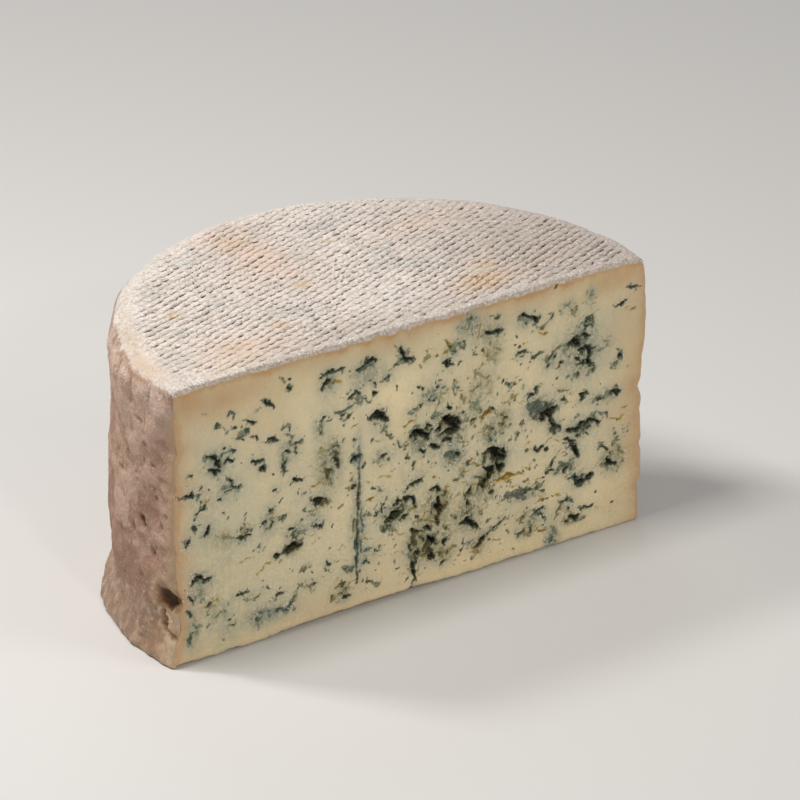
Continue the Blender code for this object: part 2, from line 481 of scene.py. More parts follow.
class Finish(Nodes):
    # a material under construction; colours are linear and lengths are millimetres

    def __init__(self, name, roughness):
        self.material = bpy.data.materials.new(name)
        self.material.use_nodes = True
        super().__init__(self.material.node_tree)
        self.shader = self.tree.nodes["Principled BSDF"]
        self.set({"Roughness": roughness})
        self.places = self.tree.nodes.new("ShaderNodeTexCoord").outputs["Object"]

    def tools(self):
        # short names for laying out a long finish
        return (self.step, self.blend, self.times, self.around, self.noise, self.look, self.relief,
                self.number)

    def set(self, values):
        for label, value in values.items():
            self.join(value, self.shader.inputs[label])

    def look(self, name):
        return self.add("ShaderNodeAttribute", attribute_name=name).outputs["Fac"]

    def stretch(self, *scale):
        return self.add("ShaderNodeMapping", {"Vector": self.places, "Scale": scale}).outputs["Vector"]

    def noise(self, size, detail=2.0, rough=0.55, places=None):
        # lumps about size mm wide, from 0 to 1
        node = self.add("ShaderNodeTexNoise", {
            "Vector": places or self.places, "Scale": 1.0 / (size * mm), "Detail": detail,
            "Roughness": rough,
        })
        return node.outputs["Fac"]

    def blend(self, share, first, second):
        node = self.add("ShaderNodeMix", data_type="RGBA")
        self.join(share, node.inputs[0])
        for value, socket in ((first, node.inputs[6]), (second, node.inputs[7])):
            self.join(value if isinstance(value, bpy.types.NodeSocket) else (*value, 1.0), socket)
        return node.outputs[2]

    def number(self, share, first, second):
        node = self.add("ShaderNodeMix")
        for value, place in ((share, 0), (first, 2), (second, 3)):
            self.join(value, node.inputs[place])
        return node.outputs[0]

    def relief(self, height, depth, onTop=None):
        node = self.add("ShaderNodeBump", {"Height": height, "Distance": depth * mm, "Strength": 1.0})
        if onTop:
            self.join(onTop, node.inputs["Normal"])
        return node.outputs["Normal"]


rindColours = {
    "bloom": (0.800, 0.735, 0.685),
    "bloomShade": (0.48, 0.420, 0.376),
    "greyBloom": (0.62, 0.605, 0.570),
    "groove": (0.40, 0.250, 0.178),
    "slit": (0.070, 0.026, 0.012),
    "rosy": (0.72, 0.555, 0.450),
    "tan": (0.56, 0.445, 0.280),
    "orange": (0.43, 0.175, 0.070),
    "side": (0.415, 0.262, 0.182),
    "sideDark": (0.285, 0.162, 0.108),
    # partly painted shade: near-black brown for the mat's slits
    "sidePale": (0.560, 0.395, 0.305),
    "rosySide": (0.410, 0.232, 0.162),
    "foot": (0.300, 0.190, 0.128),
    "footPale": (0.440, 0.306, 0.212),
    # partly the rind's own brown, partly painted shade in pits, creases and the hollow
    "crease": (0.110, 0.058, 0.026),
    "corner": (0.540, 0.380, 0.240),
    "broken": (0.560, 0.435, 0.290),
    "golden": (0.300, 0.150, 0.045),
    "rust": (0.360, 0.150, 0.060),
    # painted highlight colour for the bloom's grains
    "grainHighlight": (0.850, 0.805, 0.760),
}


def rindFinish():
    # top, side and base share this, so that they meet without a line
    finish = Finish("bloomy_rind", 0.8)
    step, blend, times, around, noise, look, relief, number = finish.tools()
    c = rindColours
    fine = noise(0.6, 3.0, 0.7)
    small = noise(1.6, 3.0, 0.65)
    middling = noise(4.0, 4.0, 0.6)
    broad = noise(17.0, 3.0, 0.5)
    stain = look("stain")
    tint = look("tint")
    pressed = look("pressed")
    away, slit = finish.slits(look("row"), look("along"))

    grains = noise(0.95, 2.0, 0.6)
    white = blend(step(broad, 0.46, 0.66, 0.0, 0.8), c["bloom"], c["greyBloom"])
    white = blend(step(middling, 0.34, 0.58, 0.35, 0.0), white, c["bloomShade"])
    # partly painted shade: the bloom darker to the right, where less light falls, and darker along the
    # cut
    white = blend(look("worn"), white, c["bloomShade"])
    # painted shade and highlights on the grains, which the same noise raises in the bump below
    white = blend(step(grains, 0.36, 0.54, 0.62, 0.0), white, c["bloomShade"])
    white = blend(times(step(grains, 0.54, 0.68), 0.70), white, c["grainHighlight"])
    white = blend(times(stain, step(middling, 0.30, 0.60, 0.5, 1.0)), white, c["rosy"])
    white = blend(times(tint, step(small, 0.35, 0.58, 0.35, 1.0)), white, c["tan"])
    rusty = times(step(tint, 0.35, 0.90), step(small, 0.56, 0.66))
    white = blend(rusty, white, c["rust"])
    groove = step(around(fine, 0.6, away), 0.46, 0.05)
    share = finish.sum("MAXIMUM", tint, times(stain, 0.45))
    patchy = finish.sum("ADD", around(small, 1.4, 0.46), times(share, 0.5))
    groove = times(groove, pressed, patchy)
    inGroove = blend(share, c["groove"], c["orange"])
    white = blend(groove, white, inGroove)
    # partly painted shade: the slits painted near-black brown, darkest at the bottom of the groove
    deep = times(step(around(fine, 0.40, away), 0.36, 0.08), slit, pressed, 1.7)
    white = blend(times(deep, number(tint, 1.0, 0.75)), white, c["slit"])

    folds = noise(6.0, 4.0, 0.65, finish.stretch(1.0, 1.0, 0.7))
    side = blend(step(folds, 0.42, 0.66, 0.0, 0.7), c["side"], c["sideDark"])
    side = blend(step(noise(11.0, 4.0, 0.6), 0.50, 0.70, 0.0, 0.6), side, c["sidePale"])
    side = blend(step(noise(8.0, 3.0, 0.6), 0.56, 0.74, 0.0, 0.8), side, c["rosySide"])
    # painted light and shade: paler where it stands out and high up, darker in the folds and low down;
    # and flakes of bloom
    raised = look("raised")
    side = blend(step(around(middling, 0.7, raised), 0.50, 0.95, 0.0, 0.75), side, c["sidePale"])
    side = blend(step(around(small, 0.6, raised), 0.05, 0.42, 0.60, 0.0), side, c["sideDark"])
    side = blend(step(small, 0.54, 0.72, 0.0, 0.5), side, c["sidePale"])
    side = blend(step(fine, 0.30, 0.46, 0.45, 0.0), side, c["sideDark"])
    flakes = times(step(noise(1.2, 2.0, 0.6), 0.60, 0.70), step(middling, 0.45, 0.60))
    side = blend(times(flakes, 0.55), side, c["bloom"])
    foot = blend(step(middling, 0.42, 0.66), c["foot"], c["footPale"])
    side = blend(look("foot"), side, foot)
    side = blend(look("corner"), side, c["corner"])
    side = blend(times(look("broken"), step(small, 0.34, 0.58, 0.5, 1.0)), side, c["broken"])

    colour = blend(step(around(small, 0.7, look("bloom")), 0.30, 0.70), side, white)
    # pits, creases and the hollow painted dark brown: partly their own colour, partly painted shade
    colour = blend(step(around(fine, 0.5, look("crease")), 0.22, 0.85), colour, c["crease"])
    colour = blend(look("golden"), colour, c["golden"])
    finish.set({"Base Color": colour})

    moist = times(look("foot"), step(noise(3.0, 3.0), 0.38, 0.62))
    finish.set({"Roughness": number(moist, 0.85, 0.25)})
    bloomed = look("bloom")
    dryness = number(look("foot"), 1.0, 0.35)
    grain = relief(times(fine, dryness), 0.32)
    grain = relief(times(grains, number(bloomed, 0.3, 1.0)), 0.62, grain)
    lumps = relief(times(small, dryness), 0.55, grain)
    cut = times(step(away, 0.30, 0.02), finish.sum("MULTIPLY_ADD", slit, -0.8, -0.2), pressed)
    finish.set({"Normal": relief(cut, 0.55, lumps)})
    finish.set({
        "Subsurface Weight": 0.08, "Subsurface Radius": (1.0, 0.5, 0.3), "Subsurface Scale": 0.0010,
        "Specular IOR Level": 0.35,
    })
    return finish.material


pasteColours = {
    "ivory": (0.760, 0.645, 0.405),
    "cream": (0.910, 0.765, 0.475),
    "chalk": (0.685, 0.612, 0.412),
    "tan": (0.575, 0.368, 0.178),
    "line": (0.52, 0.285, 0.115),
    "haze": (0.405, 0.403, 0.300),
    "blueHaze": (0.280, 0.360, 0.325),
    "paleSpores": (0.268, 0.296, 0.196),
    "spores": (0.060, 0.075, 0.036),
    "needleDust": (0.070, 0.140, 0.140),
    "paleOlive": (0.390, 0.355, 0.185),
    # painted shade: near-black brown for the depth of brownish openings
    "olive": (0.125, 0.100, 0.034),
    "deepBrownShade": (0.016, 0.011, 0.004),
    "slick": (0.150, 0.180, 0.130),
    "darkSlick": (0.062, 0.078, 0.052),
    # painted shade: near-black for the depth of the openings
    "deep": (0.0080, 0.0080, 0.0030),
    "amber": (0.490, 0.335, 0.060),
    "darkAmber": (0.190, 0.108, 0.016),
    "skin": (0.590, 0.395, 0.240),
    # near-white bead colours: painted glints
    "wheyGlint": (0.93, 0.91, 0.86),
    "wheyGlintShade": (0.86, 0.79, 0.64),
    "crust": (0.72, 0.640, 0.575),
    "crustShade": (0.50, 0.415, 0.345),
}


def pasteFinish():
    finish = Finish("veined_paste", 0.4)
    step, blend, times, around, noise, look, relief, number = finish.tools()
    c = pasteColours
    fine = noise(0.42, 3.0, 0.7)
    small = noise(1.1, 3.0, 0.65)
    ragged = noise(2.3, 5.0, 0.62)
    middling = noise(4.5, 3.0, 0.55)
    broad = noise(22.0, 2.0, 0.5)
    drawn = noise(1.3, 2.0, 0.55, finish.stretch(1.0, 1.0, 0.16))
    growth = look("growth")
    olive = look("olive")
    blue = look("blue")
    crust = look("crust")

    colour = blend(step(broad, 0.38, 0.62), c["ivory"], c["chalk"])
    # painted light in part: the cream clouds brighten the middle and the bottom of the cut
    colour = blend(look("cream"), colour, c["cream"])
    colour = blend(step(middling, 0.45, 0.72, 0.0, 0.45), colour, c["chalk"])
    colour = blend(step(small, 0.52, 0.68, 0.0, 0.40), colour, c["cream"])
    colour = blend(look("tan"), colour, c["tan"])
    colour = blend(look("line"), colour, c["line"])

    # the knife has drawn a thin veil of mould over the paste
    smoke = blend(blue, c["haze"], c["blueHaze"])
    smoke = blend(times(olive, 0.6), smoke, c["paleOlive"])
    veil = times(look("haze"), step(drawn, 0.28, 0.66, 0.82, 1.06))
    veil = times(veil, step(ragged, 0.36, 0.60, 0.45, 1.15), step(small, 0.36, 0.60, 0.70, 1.15))
    colour = blend(finish.sum("MINIMUM", veil, 0.9), colour, smoke)

    # small flecks round the veins
    flecks = times(step(noise(1.5, 3.0, 0.6), 0.58, 0.66), step(look("haze"), 0.25, 0.70))
    colour = blend(times(flecks, 0.55), colour, c["paleSpores"])

    # the mould itself, crumbly at its edges: pale, then dark, then near-black painted shade in the depth
    # of the openings
    patchy = finish.sum("ADD", around(fine, 0.45, 0.0), around(ragged, 1.1, 0.0))
    patchy = around(small, 0.6, patchy)
    middle = times(step(growth, 0.04, 0.30), step(growth, 0.75, 1.0, 1.0, 0.40))
    patchy = finish.sum("MULTIPLY_ADD", patchy, middle, growth)
    pale = blend(olive, c["paleSpores"], c["paleOlive"])
    dark = blend(olive, blend(blue, c["spores"], c["needleDust"]), c["olive"])
    colour = blend(step(patchy, 0.22, 0.38), colour, pale)
    colour = blend(step(patchy, 0.47, 0.59), colour, dark)

    amber = around(fine, 0.55, look("amber"))
    honey = blend(step(amber, 0.70, 1.05), c["amber"], c["darkAmber"])
    colour = blend(step(amber, 0.34, 0.62), colour, honey)
    # painted shade: the openings' depth painted near-black, brownish where the mould is olive
    holeShade = blend(olive, c["deep"], c["deepBrownShade"])
    colour = blend(step(patchy, 0.78, 0.90), colour, holeShade)
    slick = step(around(ragged, 0.9, look("slick")), 0.38, 0.66, 0.0, 0.85)
    colour = blend(slick, colour, blend(step(small, 0.35, 0.60), c["darkSlick"], c["slick"]))

    skin = blend(step(small, 0.35, 0.65), c["skin"], c["tan"])
    colour = blend(step(around(ragged, 0.9, look("skin")), 0.30, 0.75), colour, skin)
    crumbly = blend(step(small, 0.36, 0.62), c["crustShade"], c["crust"])
    colour = blend(step(around(small, 0.9, crust), 0.35, 0.65), colour, crumbly)
    finish.set({"Base Color": colour})

    dry = step(small, 0.3, 0.7, 0.36, 0.52)
    rough = number(look("wet"), dry, step(small, 0.35, 0.65, 0.13, 0.34))
    rough = number(step(patchy, 0.40, 0.66), rough, 0.5)
    rough = number(crust, rough, 0.85)
    finish.set({"Roughness": rough})

    curd = relief(noise(1.3, 4.0, 0.65), 0.34)
    cut = relief(drawn, 0.06, curd)
    loose = finish.sum("MAXIMUM", growth, times(look("haze"), 0.45))
    crumbs = relief(times(ragged, step(loose, 0.1, 0.6, 0.25, 2.6)), 0.42, cut)
    grains = relief(times(fine, step(loose, 0.1, 0.7, 0.30, 1.9)), 0.20, crumbs)
    finish.set({"Normal": grains})
    finish.set({
        "Subsurface Weight": 0.16, "Subsurface Radius": (1.0, 0.62, 0.30), "Subsurface Scale": 0.0012,
        "Specular IOR Level": 0.4,
    })
    return finish.material


def plainLumps(name, first, second, size, roughness):
    finish = Finish(name, roughness)
    share = finish.step(finish.noise(size, 2.0), 0.35, 0.65)
    finish.set({"Base Color": finish.blend(share, first, second)})
    return finish.material


rindMaterial = rindFinish()
pasteMaterial = pasteFinish()
crumbMaterial = plainLumps("rind_crumbs", rindColours["bloom"], rindColours["bloomShade"], 1.2, 0.9)
sporeMaterial = plainLumps("mould_tufts", pasteColours["spores"], pasteColours["paleSpores"], 1.5, 0.85)
# painted glints: near-white beads stand in for the wet glints on the cut and the foot
dewGlintMaterial = plainLumps("whey_glint_beads", pasteColours["wheyGlint"], pasteColours["wheyGlintShade"], 1.5, 0.08)
print("finishes are ready")


# what the cut shows

# Each stroke is its width and then x and z of its points, in mm. "openings" are dark torn
# hollows, "mould" is flush with the paste, "olive" likewise but brownish green, "amber" are
# thin moist cracks, and "haze" and "mottle" are soft clouds: x, z, half width, half height, strength.
upperLeft = {
    "openings": [
        (3.2, -85.5, 76, -82, 74.5, -81, 72.5), (2.4, -83, 72.5, -81, 71),
        (1.5, -86, 71.5, -83, 70, -81, 69.5), (1, -79.5, 78.3, -78, 77.7), (2, -78.5, 72.5, -75.5, 72.3),
        (1, -76.3, 75.2, -75, 75.5, -74, 76.3), (0.8, -74, 79.8, -72, 79.8),
        (1.4, -69.3, 84.8, -66.5, 84.3), (1.6, -68, 79, -65.5, 77.7),
        (1.8, -63, 90, -60.5, 89.5, -59, 88.3), (0.8, -54.8, 95.2), (0.9, -52.5, 96.5),
        (0.9, -53.2, 92.5, -51.5, 92), (1.1, -40, 92.5, -38.5, 93.8, -36, 94.3, -30, 94.2),
        (2, -38.5, 88.5, -36.5, 90.5, -35, 90), (1.5, -60.5, 75.8, -58, 75), (2, -54.5, 69.5, -53, 69),
        (0.8, -50, 69, -48.5, 67.5), (1.6, -67.5, 69.5, -65.5, 68.8, -63.5, 68.8),
        (1.6, -64.5, 66.5, -62.5, 65.3), (1.3, -77, 66, -76.5, 64, -75, 62.3, -73, 62),
        (0.6, -79.5, 60.7, -75.5, 61.5), (1.1, -95, 63.5, -92.5, 63.8, -91.7, 65.3),
        (0.6, -99, 64.5, -95, 63.5), (1.2, -91, 56.3, -88.5, 57.5, -87, 58.8), (0.8, -81.5, 58.8),
        (0.7, -90, 63.5), (0.7, -88.5, 65.2), (0.9, -92, 52, -91, 51), (1.6, -58.5, 56.3),
        (2.1, -51, 58.5, -49, 57.3, -47.5, 56.8), (0.8, -41, 76.5, -38.5, 77, -37.5, 77.3),
        (1, -35, 65.7, -33, 66.3, -32, 66), (1.1, -35.5, 63.3), (1.3, -34.5, 61.5, -33, 60, -32.5, 57.5),
    ],
    "mould": [
        (5.2, -85.5, 76, -82, 74, -81.5, 72.5), (1, -72.5, 81, -70.5, 82.3, -69, 81),
        (1, -77.5, 89.5, -74, 89), (1.2, -82, 87, -81, 86), (1.1, -79.5, 85.5, -78, 84.5),
        (0.9, -74.8, 85), (1.3, -65.5, 88.3), (1.1, -54.5, 79, -52, 78.8, -52.5, 77.5),
        (1.1, -55, 76, -53, 75.5, -51.5, 73.5), (1.7, -52, 71, -48.5, 71.7),
        (2.2, -54, 69, -54.5, 65, -54, 63), (1.2, -48, 51, -46, 52),
        (0.9, -93.5, 68.5, -93.5, 70, -93, 71, -91.5, 71.5), (2.8, -39.5, 75, -40, 72),
        (1.1, -34, 78.3, -29, 77.8, -27, 79.3, -24.5, 79.5, -22, 80, -19, 79), (2.4, -36, 92, -35, 88),
        (1.2, -80, 63, -76, 62.5), (1, -89, 60, -91, 54), (2, -37, 66, -33, 62, -36, 55, -35, 52),
    ],
    "olive": [(1.4, -39, 66, -36, 65, -34, 68), (1.2, -38, 57, -36, 53), (1, -33, 64, -31.5, 62)],
    "amber": [
        (1, -83, 78, -82, 77), (1.5, -35, 90.3, -31, 89.5), (0.7, -46.5, 64.5, -45.5, 64),
        (0.5, -65.5, 76, -64.5, 74, -64, 72.5), (1, -44.5, 52.5, -43, 52.8, -41, 53.3, -39.5, 53.8),
        (0.6, -39.5, 63.7, -37, 64),
    ],
    "haze": [
        (-83, 73, 6, 6, 0.8), (-87, 61, 6, 5, 0.5), (-78, 62, 7, 5, 0.5), (-66, 68, 5, 4, 0.4),
        (-53, 69, 5, 7, 0.6), (-40, 74, 3, 5, 0.7), (-35, 90, 5, 6, 0.6), (-28, 79, 9, 3, 0.4),
        (-96, 82, 2, 2, 0.5), (-90, 79, 2, 3, 0.4), (-36, 59, 6, 9, 0.7), (-92, 53, 3, 3, 0.3),
        (-58, 57, 3, 2, 0.4),
    ],
    "mottle": [(-36, 59, 5, 8, 0.9), (-37, 90, 4, 5, 0.5), (-54, 70, 3, 6, 0.4)],
}

upperMiddle = {
    "openings": [
        (1.5, -24.5, 91, -22, 92.8, -19.5, 93.5, -18, 94.5, -16, 93.3), (0.8, -19, 87.3),
        (0.8, -16.5, 85.5), (0.9, -27, 83, -25, 83.8, -23.5, 83),
        (1.7, -6.3, 95, -5.8, 94, -4.5, 92, -3.5, 90.3, -1, 89), (1.1, -18, 82.3, -16, 81.5),
        (1.4, 30, 90.5, 32, 90.8, 34, 90, 36.5, 90.3), (1, 25.8, 87.5),
        (1.3, 12.5, 85.2, 14, 85, 15.5, 83.5), (1.2, -28.8, 75.3, -27.5, 75.8),
        (2.6, -18, 72, -16.5, 73.8, -14.5, 73, -13, 71, -12.5, 69.5), (1.9, -17, 72.5, -14, 72),
        (0.8, -25.8, 66), (1.6, -27, 58.7, -25, 59, -23.5, 59.5),
        (2.8, 0.5, 59, 2, 60.5, 4.5, 59.5, 6, 58.8), (1.6, 3.5, 62.5, 7.5, 63), (1.3, 2.8, 54.3, 4.5, 54),
        (1.7, 7, 54.8, 8, 53.5, 9.5, 53), (3.6, 12, 63, 14, 62.5, 16, 60.8, 18, 59.3),
        (3, 12, 57.5, 14.5, 58, 17, 58.5), (1.6, 12.5, 55, 15, 54.8), (1, 2.5, 78, 3.5, 77.3),
        (1.8, 13, 68, 14.5, 67), (1.4, 24.5, 58.5, 25.5, 59.5), (0.8, 6.5, 73), (0.8, 10, 76),
        (0.8, 8, 71.5), (0.9, 33, 62, 34.5, 61), (1.2, -14.5, 56.3, -12, 57),
    ],
    "mould": [
        (3.4, -24, 91.5, -19, 92.5), (1.3, -13, 86, -11, 85, -10, 86.5),
        (3.2, 15.5, 90, 18, 89, 19.5, 88.5), (1.9, 35.5, 96.5), (3, 31, 91, 36, 90.5),
        (1.1, -13.5, 66, -12, 65, -11, 63.5), (1.1, -17, 55.5, -15, 54.8, -14, 55.2),
        (1, -7, 59, -5.5, 58, -3, 58.3), (3.2, -0.5, 58, 3.5, 56.5), (1, 19, 57.5, 21.5, 57),
        (1, 17.5, 54.5, 20, 54.5), (1, 3, 75.5, 5, 75.5, 7, 75.5), (1.6, -2, 69.5, 0, 70.3, 3, 71.5),
        (0.9, 18, 74.3), (3.2, 25, 66, 27, 62.5), (1.4, 20, 95.5, 25, 93.8), (2.6, 22, 96, 24, 99),
        (4.4, 1, 60, 6, 60), (5.4, 12, 62, 18, 60), (4, 11, 57, 17, 58), (2, -15.5, 69, -12, 67),
        (1.8, -9, 88, -3, 92), (1.4, 29.5, 54, 31, 50, 35, 49.5, 37, 53, 36, 57), (1.6, -1.5, 62, 2, 64),
        (1.2, 8, 66, 11, 65), (1.2, 19, 62, 22, 60),
    ],
    "olive": [
        (0.9, 5, 89.3, 6.5, 88.8), (1.6, 29, 86, 33, 82, 34, 79), (1.2, 24, 70, 27, 72),
        (1.1, 19, 71, 21, 68), (1.1, 26, 77, 30, 75), (1, 10, 70, 12, 73), (1.3, 34, 86, 36, 83),
    ],
    "amber": [
        (0.6, -32.5, 83.5, -29, 83.3), (0.7, -33, 90, -31, 88.5), (1, 9.5, 96.3),
        (1.6, 13, 93, 14.5, 91.5, 16, 91.5), (1, 28.5, 96, 27.5, 93, 27, 90), (0.9, 23, 83.7),
        (1.1, 31.5, 84, 31.5, 81.5), (0.8, -26.5, 76),
        (1.1, -7.5, 65.3, -5, 65.5, -3.5, 65.3, -2, 66.3, 0, 66.8, 1, 68.3), (0.8, 17.5, 67, 18.5, 66.5),
        (0.9, 20, 70), (2.3, 28.5, 58.5, 30, 60.5, 33, 61.5), (0.8, 32, 57.5, 32, 54, 31.5, 52.5),
        (1, 31.5, 71.5, 33, 73), (0.9, 36, 72.5), (0.9, 28, 71), (0.9, 31, 68.3),
    ],
    "haze": [
        (-20, 91, 8, 6, 0.8), (-6, 93, 3, 4, 0.6), (-11, 86, 4, 3, 0.5), (24, 97, 6, 4, 1),
        (33, 90, 6, 5, 0.7), (16, 89, 5, 3, 0.6), (-15, 70, 4, 6, 0.6), (-13, 56, 6, 4, 0.6),
        (5, 59, 8, 6, 0.8), (15, 59, 7, 7, 0.9), (8, 74, 7, 5, 0.7), (0, 68, 5, 4, 0.4),
        (26, 66, 4, 6, 0.6), (33, 53, 5, 6, 0.9), (24, 80, 5, 6, 0.3), (34, 83, 5, 4, 0.7),
        (-23.5, 62, 2, 14, 0.6), (30, 72, 6, 5, 0.5),
    ],
    "mottle": [
        (8, 74, 6, 4, 0.8), (34, 83, 4, 3.5, 0.8), (33, 53, 4, 5, 0.9), (25, 95, 6, 5, 0.7),
        (3, 57, 6, 6, 0.8), (15, 57, 6, 6, 0.8), (28, 70, 7, 6, 0.6), (-14, 57, 4, 3, 0.5),
        (25, 64, 4, 5, 0.6), (33, 92, 6, 5, 0.6), (12, 80, 9, 9, 0.35),
    ],
}

upperRight = {
    "openings": [
        (1.5, 46, 94, 48, 93, 50, 92), (1.9, 50.5, 91.5, 52, 90), (0.9, 58.5, 89),
        (2.8, 66.5, 77.5, 69, 77.8, 71, 76.3), (1.5, 72.8, 79, 75, 78.8),
        (1.3, 73, 81, 74, 82.5, 75.5, 83), (2.1, 74, 75, 75, 72.5, 75, 70, 74.5, 68.5),
        (1.4, 75, 72.8, 78, 73.3), (1.6, 70.2, 68.5, 71, 69.5), (2.6, 72.8, 68.7, 75, 68.3, 76.5, 67.2),
        (1, 69, 71.5, 70.5, 70.5), (1.5, 56.3, 71.5, 57.5, 72), (1.3, 58, 73.5, 58.8, 74.5, 60, 75),
        (1.4, 62, 71, 63, 71.5), (1.5, 88.5, 67, 89.5, 66.5), (0.9, 92.5, 93, 94, 92, 96, 91.8),
        (1, 86.5, 86.8, 88.5, 87, 91, 87), (1, 48.5, 62, 50.5, 63, 52.5, 64.2),
        (2.6, 57, 52.5, 58.5, 51.5), (2.2, 55, 54, 58, 53, 61, 54.5), (1.3, 64, 57, 65, 56.8),
        (1.5, 72, 56, 74.5, 56), (2.5, 85.5, 54, 87.5, 54, 88, 52.5), (0.8, 60.8, 100.8),
    ],
    "mould": [
        (3, 45, 93, 51, 91), (1, 44, 79.3, 47, 79.5), (1.1, 50, 77, 52, 76.3, 55, 76.8),
        (1.7, 64, 93, 66, 92, 67, 93.5), (1, 75, 94.5, 76.5, 94.8), (1.3, 69, 65.3, 71, 64.8),
        (1.7, 76, 63.5, 78.5, 64.5), (5.2, 67, 77.5, 72, 77), (4.6, 74, 74, 75, 68),
        (3.6, 70, 68, 76, 66.5), (3, 57, 72, 59.5, 75), (4.8, 49, 57.5, 52, 57.5, 55, 57, 57, 56),
        (3.2, 50.5, 55, 53, 54), (4, 56, 54, 60, 53.5), (2.1, 72.5, 54.3),
        (1.8, 77, 52.5, 80, 53, 83, 52.5, 85, 53.5), (3.4, 84, 54, 88, 53.5), (1.2, 45.5, 52.5),
        (1.1, 41, 53.3), (1.2, 46.3, 66), (1.1, 42, 68, 43, 68.5), (0.9, 55, 58),
        (0.9, 59, 58.7, 60, 58.3), (1, 83, 74.5, 85, 73), (0.9, 85, 65, 87, 64.5, 88, 65.5),
        (1.4, 71, 83, 75, 85, 77, 82), (1.6, 60, 76.5, 63, 78),
    ],
    "olive": [
        (1.6, 62.5, 60, 66, 59.5), (0.9, 40.5, 63.3, 43.5, 63.5), (1, 54, 86, 57, 88),
        (0.9, 68, 89, 70, 92), (1.2, 38, 58, 39, 54),
    ],
    "amber": [
        (0.7, 39, 86, 41.5, 86.3), (0.7, 46, 83, 47.5, 83.5), (1.1, 49.5, 85.5, 50.5, 86.5),
        (1, 53.5, 84.8, 55, 84.5, 57.5, 84.3), (0.6, 75.5, 90, 78.5, 90.3), (0.7, 62.5, 69, 63, 68),
        (0.6, 60, 75.5, 62, 77, 64.5, 78.5), (1.1, 92.8, 62.3), (1.2, 97, 91.5), (0.9, 94, 84, 96, 84.3),
        (0.8, 82.7, 94.8), (0.7, 53, 65.2, 55.5, 65.3), (0.9, 45, 59.5, 47, 61), (0.9, 39.5, 71),
        (0.6, 46, 69.5), (0.6, 80.5, 55, 81, 54.5), (0.6, 77.5, 51.7), (0.6, 83, 52),
        (0.7, 41, 63, 45, 64),
    ],
    "haze": [
        (49, 92, 6, 4, 0.7), (46, 79, 4, 2, 0.5), (53, 76, 4, 2, 0.4), (66, 93, 4, 3, 0.6),
        (76, 94, 2, 6, 0.8), (72, 74, 11, 11, 0.9), (59, 72, 5, 4, 0.5), (88, 66, 4, 3, 0.4),
        (54, 56, 8, 6, 0.9), (73, 55, 4, 3, 0.5), (84, 53, 6, 3, 0.6), (38, 56, 4, 6, 0.7),
        (50, 63, 5, 2, 0.4), (57, 89, 4, 3, 0.4),
    ],
    "mottle": [
        (72, 75, 10, 10, 0.8), (38, 56, 4, 5, 0.9), (54, 56, 7, 5, 0.5), (66, 92, 6, 4, 0.5),
        (48, 90, 6, 4, 0.4), (57, 72, 5, 5, 0.4), (76, 93, 3, 6, 0.7), (80, 53, 8, 3, 0.4),
    ],
}

